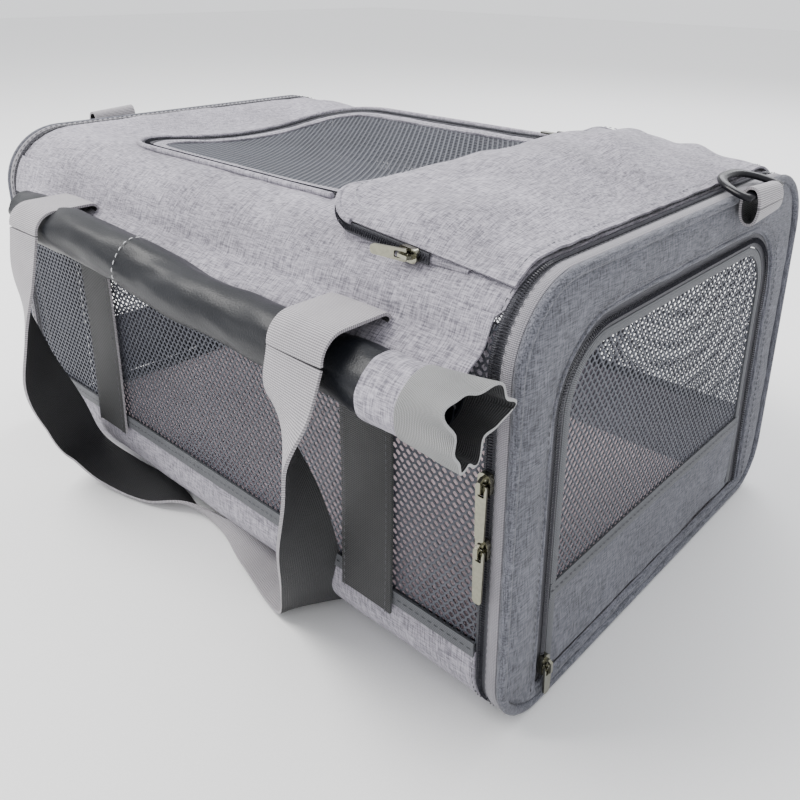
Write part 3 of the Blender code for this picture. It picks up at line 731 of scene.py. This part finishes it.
def make_top_cloth():
    """The top panel, in rows from the window's edge out to the seams and the ends."""
    centre_x = (WINDOW_FAR + WINDOW_NEAR) / 2
    half_run = HALF_LOOP - SEAM_RUN
    rows = []
    for x, y in window_loop(-0.0004):
        way_x, way_t = x - centre_x, top_run(y) - HALF_LOOP
        reach = []
        if abs(way_x) > 1e-6:
            reach.append((math.copysign(BODY_END, way_x) - centre_x) / way_x)
        if abs(way_t) > 1e-6:
            reach.append(half_run / abs(way_t))
        scales = spread(1, min(reach), 34)
        rows.append([shell_point(centre_x + way_x * k, HALF_LOOP + way_t * k, -0.0002) for k in scales])

    def relief(p, u, v):
        fold = 0.0011 * math.sin(p.x * 95 + 3 * noise.noise(p * 14)) * ease(abs(p.y), 0.10, 0.15)
        return ripple(p, 0.0016, 22) * min(1.0, v * 6) + fold * min(1.0, v * 5)

    cloth("top_cloth", rows, FABRIC, HEATHER, "shell", ["top_panel"], closed=True, relief=relief)
    for side, way in (("front", 1), ("rear", -1)):
        seam = [shell_point(x, way * (SEAM_RUN + 0.0035), 0.0006) for x in spread(-BODY_END, BODY_END, 60)]
        stitches(side + "_seam_stitches", seam, section_out, THREAD, "shell")


def make_window():
    """The top window's zip, and its flap of netting."""
    def arch(inset):
        """The window's outline without its hinge side."""
        return [p for p in window_loop(inset) if p[0] < WINDOW_NEAR - HINGE_CORNER - 0.0001]

    def line(inset, lift):
        return [top_point(x, y, lift) for x, y in arch(inset)]

    tape = between(arch(0.0062), arch(-0.0012), 3, lambda x, y: top_point(x, y, 0.0004))
    cloth("window_zip_tape", tape, 0.0009, ZIP_TAPE, "shell", ["top_door_zip"])
    coil("window_zip_coil", line(0.0026, 0.0006), up_way, ZIP_COIL, "shell")
    tube("window_piping", resample(line(-0.0030, 0.0012), 0.004), 0.0019, HEATHER, "shell", sides=10)
    bound = between(arch(0.0155), arch(0.0068), 4, lambda x, y: top_point(x, y, 0.0002))
    cloth("flap_binding", bound, 0.0012, HEATHER, "top_door", ["top_door_binding"], relief=rippled(0.0005, 60))
    stitches("flap_stitches", line(0.0130, 0.0005), up_way, THREAD, "top_door")

    def place(u, v):
        return top_point(WINDOW_FAR + u, -WINDOW_HALF + v, -0.0014)

    def inside(u, v):
        return within(u, WINDOW_HALF - abs(-WINDOW_HALF + v), WINDOW_RADIUS, 0.0135)

    netting("flap_netting", place, WINDOW_NEAR - WINDOW_FAR, 2 * WINDOW_HALF, "top_door", ["top_door_mesh"],
            inside)


# ---------------------------------------------------------------- ends
END_X = 0.2468              # an end's outer face
END_CENTRE = 0.115          # height from which the end panel's rows spread out
PANEL_INSET = 0.0036
DOOR_GAP = 0.0094           # from the opening's edge to the door


def door_loop(inset, bottom, closed_bottom=False):
    """The door opening's outline as (y, z): up one side, over the top and down the other."""
    half, top = OPENING_HALF - inset, OPENING_TOP - inset
    radius = OPENING_RADIUS - inset
    side, shoulder = half - radius, top - radius
    points = [(-half, z) for z in spread(bottom, shoulder, 36)]
    points += corner(-side, shoulder, radius, 2)
    points += [(y, top) for y in spread(-side, side, 40)][1:]
    points += corner(side, shoulder, radius, 1)
    points += [(half, z) for z in spread(shoulder, bottom, 36)][1:]
    if closed_bottom:
        points += [(y, bottom) for y in spread(half, -half, 60)][1:-1]
    return points


def end_face(sign, y, z, lift=0.0):
    """A point on an end's outer face, which bows in slightly at its middle."""
    bow = 0.0016 * math.cos(math.pi * y / 0.34) * math.sin(math.pi * min(max(z, 0.0), HEIGHT) / HEIGHT)
    return Vector((sign * (END_X + lift - bow), y, z))


def make_rim(end, sign):
    """An end's zip, band and piping, all the way round the section, and the wire inside."""
    def band(x0, x1, lift, count=260, across=4):
        ts = [2 * HALF_LOOP * k / count for k in range(count)]
        rows = [[shell_point(sign * x, t, lift) for x in spread(x0, x1, across)] for t in ts]
        return turned(rows, sign > 0)

    cloth(end + "_perimeter_tape", band(0.2313, 0.2390, -0.0016), 0.0012, ZIP_TAPE, "shell",
          [end + "_perimeter_zip"], closed=True, relief=rippled(0.0003, 50))
    coil(end + "_perimeter_coil", loop_points(sign * 0.2350, -0.0014), section_out, ZIP_COIL, "shell", closed=True)
    cloth(end + "_band_cloth", band(0.2386, 0.2450, -0.0008), 0.0014, BINDING, "shell",
          [end + "_end_band"], closed=True, relief=crowned(0.0008))
    for label, x in (("inner", 0.2308), ("outer", 0.2393)):
        line = loop_points(sign * x, 0.0001)
        stitches(f"{end}_{label}_stitches", line, section_out, DARK_THREAD, "shell", closed=True)
    along = Vector((1, 0, 0))
    cord = loop_points(sign * 0.2474, -0.0026, 200)
    tube(end + "_piping", cord, 0.0028, HEATHER_END_SHADED, "shell", [end + "_end_piping"], closed=True, up=along)
    wire = loop_points(sign * 0.2370, -0.0080, 200)
    tube(end + "_wire", wire, 0.0015, WIRE, "shell", [end + "_end_wire"], closed=True, sides=10, up=along)


def make_frame(end, sign):
    """An end's padded panel round the door, and the door's zip."""
    outline = []
    for k in range(720):
        spot, out = section(2 * HALF_LOOP * k / 720)
        outline.append(Vector(spot) - Vector(out) * PANEL_INSET)
    angles = [math.atan2(p.y - END_CENTRE, p.x) for p in outline]
    rows = []
    for y, z in door_loop(-0.0006, DOOR_LOW - 0.0006, closed_bottom=True):
        goal = math.atan2(z - END_CENTRE, y)
        best = min(range(720), key=lambda k: abs((angles[k] - goal + math.pi) % (2 * math.pi) - math.pi))
        row = []
        for share in spread(0, 1, 12):
            spot = Vector((y, z)).lerp(outline[best], share)
            row.append(end_face(sign, spot.x, spot.y, 0.0022 * math.sin(math.pi * share) ** 0.7))
        rows.append(row)
    cloth(end + "_panel_cloth", turned(rows, sign < 0), FABRIC, HEATHER_END_SHADED, "shell", [end + "_end_panel"],
          closed=True, relief=rippled(0.0009, 40))

    def out(_):
        return Vector((sign, 0, 0))

    def line(inset, lift):
        return [end_face(sign, y, z, lift) for y, z in door_loop(inset, DOOR_LOW)]

    tape = between(door_loop(-0.0010, DOOR_LOW), door_loop(0.0088, DOOR_LOW), 4,
                   lambda y, z: end_face(sign, y, z, -0.0004))
    cloth(end + "_door_tape", turned(tape, sign > 0), 0.0010, ZIP_TAPE, "shell", [end + "_door_zip"])
    coil(end + "_door_coil", line(0.0042, 0.0001), out, ZIP_COIL, "shell")
    tube(end + "_door_piping", resample(line(-0.0034, 0.0004), 0.005), 0.0016, HEATHER_END_SHADED, "shell",
         sides=10, up=out(None))
    stitches(end + "_frame_stitches", line(-0.0075, 0.0026), out, DARK_THREAD, "shell")


def make_door(end, sign):
    """An end's door: netting in a binding, over a band of cloth."""
    door = end + "_door"
    half = OPENING_HALF - DOOR_GAP

    def level(z, steps, lift):
        return [end_face(sign, y, z, lift) for y in spread(-half, half, steps)]

    low = DOOR_LOW + 0.003
    bound = between(door_loop(DOOR_GAP, low), door_loop(0.0150, low), 3,
                    lambda y, z: end_face(sign, y, z, -0.0004))
    cloth(door + "_binding", turned(bound, sign > 0), 0.0012, GREY_BINDING, door, relief=crowned(0.0006))
    rows = [level(z, 60, -0.0006) for z in spread(DOOR_LOW + 0.0004, DOOR_BAND_TOP, 14)]
    cloth(door + "_band", turned(rows, sign > 0), FABRIC, HEATHER_END_SHADED, door, [door + "_lower_band"],
          relief=rippled(0.0010, 36))
    rows = [level(z, 40, 0.0001) for z in spread(DOOR_BAND_TOP - 0.004, DOOR_BAND_TOP + 0.005, 3)]
    cloth(door + "_tape_binding", turned(rows, sign > 0), 0.0010, GREY_BINDING, door)
    stitches(door + "_stitches", level(DOOR_BAND_TOP + 0.0005, 30, 0.0004), lambda p: Vector((sign, 0, 0)),
             DARK_THREAD, door)

    def place(u, v):
        return end_face(sign, -OPENING_HALF + u, DOOR_BAND_TOP + v, -0.0018)

    def inside(u, v):
        return within(OPENING_HALF - abs(-OPENING_HALF + u), height - v, OPENING_RADIUS, 0.0120)

    height = OPENING_TOP - DOOR_BAND_TOP
    netting(door + "_netting", place, 2 * OPENING_HALF, height, door, [door + "_mesh"], inside)


def make_inside():
    """The base board and the plush pad that lies on it."""
    frame["nodes"]["base_board"].material_slots[0].material = BOARD
    low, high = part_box("fleece_pad")
    rows = []
    for x in spread(low.x, high.x, 110):
        row = []
        for y in spread(low.y, high.y, 64):
            edge = min(x - low.x, high.x - x, y - low.y, high.y - y)
            crown = (high.z - low.z) * (1 - max(0.0, 1 - edge / 0.014) ** 2.2)
            quilt = 0.0016 * abs(math.sin(x * math.pi / 0.075)) * abs(math.sin(y * math.pi / 0.0625))
            row.append(Vector((x, y, low.z + 0.0015 + crown * 0.80 + quilt)))
        rows.append(row)
    pad = cloth("plush_pad", rows, 0.0014, PLUSH, "shell", ["fleece_pad"],
                relief=lambda p, u, v: ripple(p, 0.0010, 45) + ripple(p, 0.0006, 180))


# ---------------------------------------------------------------- storage pocket
POCKET_CORNER = 0.024
RIM_LIFT = 0.0050           # how much its front edge stands up, and how much more at the sides
SIDE_LIFT = 0.0055
CROWN = 0.0215
LID_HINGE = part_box("pocket_back")[0].x
ZIP_END = 0.205             # where the pocket's zip ends at each side


def pocket_edge(y):
    """The front edge's x at a distance y from the middle, with rounded corners."""
    over = abs(y) - (POCKET_HALF - POCKET_CORNER)
    if over <= 0:
        return POCKET_START
    return POCKET_START + POCKET_CORNER - math.sqrt(max(POCKET_CORNER**2 - over**2, 0.0))


def pocket_height(x, y):
    """Height of the cover, which is crowned both ways."""
    along = min(max((x - POCKET_START) / (BODY_END - POCKET_START), 0.0), 1.0)
    across = y / POCKET_HALF
    rim = (1 - along) * (RIM_LIFT + SIDE_LIFT * across**2)
    crown = math.sin(math.pi * along**0.8)
    return top_point(x, y).z + 0.0030 + rim + CROWN * crown * (1 - across**2)


def pocket_point(x, y, lift):
    return Vector((x, y, pocket_height(x, y) + lift))


def pocket_outline(count=60):
    """The pocket's zipped edge as (x, y), from the front side round the far edge to the rear side."""
    half, radius = POCKET_HALF - 0.001, POCKET_CORNER
    start = POCKET_START + 0.001
    side, bend = half - radius, start + radius
    points = [(x, -half) for x in spread(ZIP_END, bend, count // 3)]
    points += corner(bend, -side, radius, -1, 12)
    points += [(start, y) for y in spread(-side, side, count)][1:]
    points += corner(bend, side, radius, 2, 12)
    return points + [(x, half) for x in spread(bend, ZIP_END, count // 3)][1:]


def pocket_relief(p, u, v):
    """Creases and puckers on the cover, and gathers along its two seams."""
    crease = 0.0016 * math.sin((p.x * 0.8 + p.y * 0.6) * 120 + 4 * noise.noise(p * 16))
    crease *= ease(noise.noise(p * 9), -0.2, 0.4) * (1 - ease(p.x, 0.185, 0.222))
    seams = ease(v, 0.86, 0.98) + 1 - ease(v, 0.02, 0.12)
    gather = 0.0009 * math.sin(p.y * 260 + 5 * noise.noise(p * 20)) * seams
    pucker = 0.0020 * math.sin((p.x - 0.6 * p.y) * 75 + 2.0) * ease(-p.y, 0.02, 0.12)
    edge = min(1.0, v * 9, (1 - v) * 7, u * 9, (1 - u) * 9)
    return (ripple(p, 0.0044, 17) + crease + pucker) * edge + gather * 0.4


def pocket_out(point):
    """The direction out of the pocket's zipped wall."""
    if abs(point.y) > POCKET_HALF - POCKET_CORNER and point.x > POCKET_START + POCKET_CORNER:
        return Vector((0, math.copysign(1, point.y), 0.1))
    return Vector((point.x - 0.175, point.y * 0.75, 0.0)).normalized()


def make_pocket():
    """The padded-out cover, domed at its crown, and the zipped wall under its edge."""
    rows = []
    for y in [POCKET_HALF * math.sin(math.pi * (0.5 - k / 84)) for k in range(85)]:
        rows.append([pocket_point(x, y, 0.0) for x in spread(pocket_edge(y), BODY_END + 0.0006, 56)])
    cover = cloth("pocket_cover", rows, 0.0015, HEATHER, None, ["pocket_lid", "pocket_back"], relief=pocket_relief)
    hinge_z = pocket_height(LID_HINGE, 0.0)
    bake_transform(cover)
    walls, tape, line = [], [], []
    for x, y in pocket_outline():
        foot, top = top_point(x, y, 0.0003), pocket_height(x, y)
        inner = Vector((min(x + 0.0012, 0.206), y * 0.994, top - 0.0026))
        walls.append([inner.lerp(foot, k / 5) for k in range(6)])
        if x < LID_HINGE:
            way = pocket_out(Vector((x, y, top)))
            base = Vector((x, y, top - 0.0022)) + way * 0.0010
            tape.append([base, base - UP * 0.0028 + way * 0.0004, base - UP * 0.0058 + way * 0.0004])
            line.append(base - UP * 0.0026 + way * 0.0006)
    cloth("pocket_wall", walls, FABRIC, HEATHER, "shell", ["pocket_gusset"],
          relief=lambda p, u, v: 0.0007 * math.sin(math.pi * v) + ripple(p, 0.0005, 60))
    cloth("pocket_zip_tape", tape, 0.0008, ZIP_TAPE, "shell", ["pocket_zip"])
    coil("pocket_zip_coil", line, pocket_out, ZIP_COIL, "shell")
    ys = [POCKET_HALF * math.sin(math.pi * (k / 120 - 0.5)) for k in range(121)]
    hem = [pocket_point(pocket_edge(y), y, -0.0006) + Vector((0.0004, 0, 0)) for y in ys]
    tube("pocket_hem", hem, 0.0017, HEATHER, "pocket_lid", sides=10)
    row = [pocket_point(pocket_edge(y) + 0.0065, y * 0.955, 0.0004) for y in ys]
    stitches("pocket_stitches", row, up_way, THREAD, "pocket_lid")
    ys = spread(-POCKET_HALF + 0.004, POCKET_HALF - 0.004, 60)
    row = [pocket_point(BODY_END - 0.0035, y, 0.0003) for y in ys]
    stitches("pocket_back_stitches", row, up_way, THREAD, "shell")


# ---------------------------------------------------------------- webbing and handles
def ribbon(name, points, across, widths, skin, outer, inner, body, replaces=()):
    """A strap along the points. across gives its width's direction at each, and the outer face is to the left."""
    rows = []
    count = len(points)
    for i, point in enumerate(points):
        travel = (points[min(i + 1, count - 1)] - points[max(i - 1, 0)]).normalized()
        side = (across[i] - travel * across[i].dot(travel)).normalized() * widths[i] / 2
        face = travel.cross(side.normalized())
        row = []
        for share in spread(-1, 1, 8):
            crown = 0.0004 * (1 - share**4)
            row.append(point + side * share + face * (skin / 2 + crown))
        rows.append(row)
    return cloth(name, rows, skin, outer, body, replaces, inner=inner)


def make_webbing(side, sign, legs):
    """The sewn strips on a long side, which turn out over the rolled curtain."""
    up_y = HALF_WIDTH + 0.0016
    turn_z = ROLL_Z + ROLL_RADIUS + 0.006
    bend, drop = 0.0135, 0.197
    lean = 0.005
    route = [(-up_y - 0.0016 + 0.0020 * math.sin(math.pi * (z - 0.03) / 0.19), z)
             for z in spread(0.040, turn_z - lean, 30)]
    route += [(-up_y - lean * (1 - math.cos(a)), turn_z - lean * (1 - math.sin(a)))
              for a in spread(0, QUARTER, 5)][1:]
    route += [(y, turn_z) for y in spread(-up_y - lean, -drop, 4)][1:]
    route += [(-drop - bend * math.sin(a), turn_z - bend * (1 - math.cos(a))) for a in spread(0, QUARTER, 10)][1:]
    for label, leg in zip(("far", "near"), legs):
        points = [Vector((leg, -sign * y, z)) for y, z in route]
        name = f"{side}_webbing_{label}"
        # The front's near strip takes the darker copy of the webbing: painted shade where the strip lies in shade
        outer = SHADED_SIDE_WEB if label == "near" and side == "front" else LIGHT_WEB
        split = 27      # the route's point where the strip ends and its root begins
        across = [Vector((-sign, 0, 0))] * len(points)
        widths = [WEBBING] * len(points)
        ribbon(name + "_strip", points[:split + 1], across[:split + 1], widths, 0.0016, outer, DARK_WEB,
               "shell", [name])
        ribbon(name + "_root", points[split:], across[split:], widths, 0.0017, LIGHT_WEB, DARK_WEB, "shell")
        out = Vector((0, sign, 0))
        for edge in (-1, 1):
            line = [p + Vector((edge * (WEBBING / 2 - 0.003), sign * 0.0016, 0)) for p in points[:split - 2]]
            stitches(f"{name}_stitches_{'low' if edge < 0 else 'high'}", line, lambda p: out, DARK_THREAD, "shell")


# the handle's route: a point, the direction of its width, and its width in mm
HANDLE = (
    ((-0.1180, -0.2105, 0.2030), (1.00, 0.00, 0.00), 38),
    ((-0.1175, -0.2160, 0.1720), (0.99, -0.10, 0.00), 38),
    ((-0.1190, -0.2175, 0.1350), (0.86, -0.50, 0.00), 38),
    ((-0.1290, -0.2110, 0.0950), (0.55, -0.83, 0.00), 38),
    ((-0.1400, -0.1950, 0.0550), (0.35, -0.90, 0.25), 38),
    ((-0.1380, -0.1830, 0.0220), (0.25, -0.93, 0.25), 38),
    ((-0.1080, -0.1730, 0.0065), (0.10, -0.99, 0.08), 37),
    ((-0.0620, -0.1640, 0.0036), (0.00, -1.00, 0.03), 29),
    ((-0.0220, -0.1590, 0.0056), (0.00, -0.50, 0.86), 11),
    ((0.0080, -0.1580, 0.0058), (0.00, 0.50, 0.86), 10),
    ((0.0480, -0.1600, 0.0036), (0.05, 1.00, 0.02), 27),
    ((0.0850, -0.1650, 0.0030), (0.30, 0.95, 0.00), 36),
    ((0.1090, -0.1690, 0.0070), (0.50, 0.86, 0.00), 38),
    ((0.1180, -0.1740, 0.0260), (0.42, 0.91, 0.00), 38),
    ((0.1290, -0.1850, 0.0600), (0.06, 1.00, 0.00), 38),
    ((0.1450, -0.2030, 0.1060), (-0.30, 0.95, 0.00), 38),
    ((0.1530, -0.2135, 0.1400), (-0.64, 0.77, 0.00), 38),
    ((0.1550, -0.2165, 0.1620), (-0.80, 0.60, 0.00), 38),
    ((0.1565, -0.2155, 0.1830), (-0.99, 0.12, 0.00), 38),
    ((0.1570, -0.2105, 0.2030), (-1.00, 0.00, 0.00), 38),
)


def make_handle(side, sign, shift):
    """The carrying loop: its legs twist edge-on and its middle lies bunched on the ground by the base."""
    def placed(v):
        return Vector((-sign * v[0], -sign * v[1], v[2]))

    points = smooth_route([placed(p) + Vector((shift, 0, 0)) for p, _, _ in HANDLE], 9)
    across = smooth_route([placed(w) for _, w, _ in HANDLE], 9)
    widths = [v.x for v in smooth_route([(w / 1000, 0, 0) for _, _, w in HANDLE], 9)]
    ribbon(side + "_handle_strap", points, across, widths, 0.0017, LIGHT_WEB, DARK_WEB,
           side + "_handle", [side + "_handle"])


# ---------------------------------------------------------------- rolled curtains
def make_curtain(side, sign, main, lining):
    """A curtain rolled round itself, with a hem and an open mouth at one end."""
    low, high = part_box(side + "_curtain_roll")
    mouth_at = high.x if sign < 0 else low.x
    way = -sign
    other = (low.x if sign < 0 else high.x) + way * 0.030
    body = side + "_curtain"
    legs = FRONT_LEGS if sign < 0 else REAR_LEGS

    def centre(x):
        """Height of the roll's middle, which hangs lower at its mouth than at its other end."""
        return ROLL_Z + 0.009 * (1 - ease(way * x, -0.10, 0.11))

    def depth(x):
        return sign * (ROLL_Y - 0.006 * ease(-way * x, 0.12, 0.176))

    def around(x, size, angle, flat=1.0):
        return Vector((x, depth(x) + size * math.cos(angle), centre(x) + size * math.sin(angle) * flat))

    def radius(x, angle):
        pinch = sum(0.0013 * math.exp(-((x - leg) / 0.020) ** 2) for leg in legs)
        spiral = 0.0011 * ((angle / (2 * math.pi) + 0.3) % 1.0)
        dent = ripple(Vector((x * 0.45, math.cos(angle) * 0.02, math.sin(angle) * 0.02)), 0.0018, 40)
        fold = 0.0010 * math.sin(way * x * 60 + angle * 1.5) * math.sin(way * x * 23 + 1)
        slack = 0.0045 * ease(-way * x, 0.12, 0.176)
        return ROLL_RADIUS - 0.0016 - pinch + spiral + dent + fold - slack

    def crumple(angle):
        return 0.11 * math.sin(3 * angle + 0.4) + 0.10 * math.sin(5 * angle + 2.1) + 0.07 * math.sin(8 * angle)

    def skin(name, start, end, steps, extra, material, inner=None, thickness=0.0012, flare=0.0, crush=0.0):
        rows = []
        for x in spread(start, end, steps):
            share = (x - start) / (end - start)
            row = []
            for k in range(73):
                angle = 2 * math.pi * k / 72
                size = (radius(x, angle) + extra + flare * share) * (1 + crush * crumple(angle) * share**1.5)
                slip = crush * 0.0035 * share * math.sin(2 * angle + 0.6)
                row.append(around(x, size, angle, 1 - 0.10 * crush * share) + Vector((way * slip, 0, 0)))
            rows.append(row)
        return cloth(name, turned(rows, way > 0), thickness, material, body, inner=inner)

    roll = skin(side + "_roll_cloth", other, mouth_at - way * 0.050, 130, 0.0, main, inner=main)
    skin(side + "_roll_hem", mouth_at - way * 0.058, mouth_at - way * 0.028, 12, 0.0011, HEATHER, inner=lining)
    skin(side + "_roll_mouth", mouth_at - way * 0.034, mouth_at - way * 0.004, 18, 0.0018, MOUTH, inner=DARK_WEB,
         thickness=0.0014, flare=0.0026, crush=1.0)
    seam_x = -way * 0.010
    seam = []
    for angle in spread(0, 2 * math.pi, 60)[:-1]:
        seam.append(around(seam_x, radius(seam_x, angle) + 0.0010, angle) - Vector((way * 0.002, 0, 0)))
    stitches(side + "_roll_stitches", seam,
             lambda p: Vector((0, p.y - depth(seam_x), p.z - centre(seam_x))).normalized(), PALE_THREAD, body)
    for label, at, inward, first, gap, material in (("mouth", mouth_at, -way, 0.020, 0.0080, lining),
                                                    ("end", other, way, 0.003, 0.0125, main)):
        rows = []
        for share in spread(0, 1, 96):
            angle = 5 * math.pi * share
            spot = around(at, 0.0040 + (ROLL_RADIUS - gap) * share, angle, 0.92)
            rows.append([spot + Vector((inward * sunk, 0, 0))
                         for sunk in (first + 0.004 * math.sin(angle * 0.7) ** 2, first + 0.012, first + 0.034)])
        cloth(f"{side}_roll_core_{label}", rows, FABRIC, material, body)
    stand_for([side + "_curtain_roll"])

    make_hanging(side, sign, lining)


SHEET_HALF = 0.2295


def make_hanging(side, sign, lining):
    """The sheet that hangs from the seam to the roll, over the shell's shoulder."""
    rows = []
    for z in spread(SEAM_Z + 0.0040, ROLL_Z + 0.008, 18):
        over = max(z - CORE_TOP, 0.0)
        surface = FLAT_HALF + math.sqrt(TOP_RADIUS**2 - over**2) + 0.0016
        flare = 0.0125 * (1 - ease(z, ROLL_Z + 0.008, 0.2170))
        rows.append([Vector((-sign * x, sign * (surface + flare * ease(x, -0.226, -0.165)), z))
                     for x in spread(-SHEET_HALF, SHEET_HALF, 70)])
    sheet = cloth(side + "_curtain_cloth", rows, 0.0010, HEATHER, None, [side + "_curtain_sheet"],
                  relief=rippled(0.0006, 40), inner=lining)
    steps = [(below - above).length for first, second in zip(rows, rows[1:])
             for above, below in zip(first, second)]
    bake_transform(sheet)


# ---------------------------------------------------------------- rings and zip sliders
RING_WIDE, RING_HIGH = 0.0033, 0.0022      # half of the moulding's width and thickness
RING_LENGTH = 0.0235


def make_rings():
    """Flat moulded D-rings, each in a loop of webbing."""
    tilt = math.radians(14)
    for end, reach_way in (("near", Vector((-math.cos(tilt), 0, math.sin(tilt)))),
                           ("far", Vector((0.10, 0, -1)).normalized())):
        low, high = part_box(end + "_d_ring")
        tab_low, tab_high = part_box(end + "_ring_tab")
        middle = (tab_low + tab_high) / 2
        pivot = Vector((middle.x, middle.y, low.z + 0.0028 if end == "near" else high.z - 0.0028))
        half = (high.y - low.y) / 2 - 0.0026
        path = [(0.0, y) for y in spread(-half, half, 16)]
        for a in spread(0.05, QUARTER, 14) + spread(QUARTER, math.pi - 0.05, 14)[1:]:
            path.append((RING_LENGTH * math.sin(a), math.copysign(half * abs(math.cos(a)) ** 0.8, math.cos(a))))
        points = [pivot + reach_way * x + Vector((0, y, 0)) for x, y in path]
        verts = []
        for point, (_, side, lead) in zip(points, frames_along(points, True, reach_way.cross(Vector((0, 1, 0))))):
            verts += ring(point, side, lead, RING_WIDE, RING_HIGH, 14)
        faces = ring_faces(len(points), 14, True)
        add_piece(end + "_ring_moulding", verts, faces, BLACK, end + "_ring", [end + "_d_ring"])
        half_x, half_z = (tab_high.x - tab_low.x) / 2 - 0.0002, (tab_high.z - tab_low.z) / 2
        rows = []
        for angle in spread(0, 2 * math.pi, 64)[:-1]:
            c, s = math.cos(angle), math.sin(angle)
            x = half_x * math.copysign(abs(c) ** 0.8, c)
            z = half_z * math.copysign(abs(s) ** 0.9, s)
            tapers = spread(0.78, 1.0, 12) if end == "near" else spread(1.0, 0.78, 12)
            rows.append([Vector((middle.x + x, y, middle.z + z * taper))
                         for y, taper in zip(spread(tab_high.y, tab_low.y, 12), tapers)])
        cloth(end + "_ring_loop", rows, 0.0016, LIGHT_WEB, "shell", [end + "_ring_tab"], closed=True,
              inner=DARK_WEB)


def make_sliders():
    """Zip sliders and their pulls, cast with rounded edges."""
    for name in ("near_upper", "near_lower", "near_door", "far_door", "top_door", "pocket"):
        for part in ("_slider", "_pull"):
            mesh = frame["nodes"][name + part].data.copy()
            mesh.materials.clear()
            mesh.materials.append(GUNMETAL)
            casting = bpy.data.objects.new(name + part + "_casting", mesh)
            bpy.context.collection.objects.link(casting)
            rounding = casting.modifiers.new("edges", "BEVEL")
            rounding.width = 0.0005
            rounding.segments = 3
            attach(casting, name + part)
            stand_for([name + part])


# ---------------------------------------------------------------- stage
def make_stage():
    """A pale floor, an even sky and two soft lamps."""
    bpy.ops.mesh.primitive_plane_add(size=12.0, location=(0, 0, -0.0004))
    floor = bpy.context.object
    floor.name = "floor"
    ground = Nodes("ground", 0.95)
    fine = ground.noise((900, 900, 900))
    tone = ground.ramp(fine, (0.90, 0.90, 0.90), (0.93, 0.93, 0.93), 0.3, 0.7)
    floor.data.materials.append(ground.finish(tone, ground.bump(fine, 0.0001, 0.2)))
    world = bpy.data.worlds.new("studio")
    world.use_nodes = True
    world.node_tree.nodes["Background"].inputs["Color"].default_value = (0.97, 0.98, 1.0, 1.0)
    world.node_tree.nodes["Background"].inputs["Strength"].default_value = 1.3
    bpy.context.scene.world = world
    for name, place, size, power, color in (
        ("key", (-0.9, -0.7, 1.8), 1.2, 58.0, (1.0, 0.985, 0.96)),
        ("back", (-0.3, 1.5, 1.6), 1.4, 32.0, (0.96, 0.97, 1.0)),
    ):
        light = bpy.data.lights.new(name, "AREA")
        light.energy, light.size, light.color = power, size, color
        lamp = bpy.data.objects.new(name, light)
        lamp.location = place
        lamp.rotation_euler = (Vector((0, 0, 0.1)) - Vector(place)).to_track_quat("-Z", "Y").to_euler()
        bpy.context.collection.objects.link(lamp)


def make_camera():
    """The camera, as fitted to the photo's straight edges."""
    camera = bpy.data.cameras.new("camera")
    camera.lens, camera.sensor_width = 37.4, 36.0
    camera.shift_x, camera.shift_y = -0.04, -0.14
    camera.clip_start, camera.clip_end = 0.01, 60.0
    viewer = bpy.data.objects.new("camera", camera)
    turn = Matrix.Rotation(math.radians(41.27), 4, "Z")
    turn @= Matrix.Rotation(math.radians(69.06), 4, "X") @ Matrix.Rotation(math.radians(0.92), 4, "Z")
    viewer.matrix_world = Matrix.Translation((0.4277, -0.4249, 0.3676)) @ turn
    bpy.context.collection.objects.link(viewer)
    bpy.context.scene.camera = viewer


make_sides()
make_top_cloth()
make_window()
for end, sign in (("near", 1), ("far", -1)):
    make_rim(end, sign)
    make_frame(end, sign)
    make_door(end, sign)
make_inside()
make_pocket()
make_webbing("front", -1, FRONT_LEGS)
make_webbing("rear", 1, REAR_LEGS)
make_handle("front", -1, 0.0)
make_handle("rear", 1, -0.033)
make_curtain("front", -1, COATED, COATED)
make_curtain("rear", 1, CURTAIN_LIGHT, COATED)
make_rings()
make_sliders()
make_stage()
make_camera()
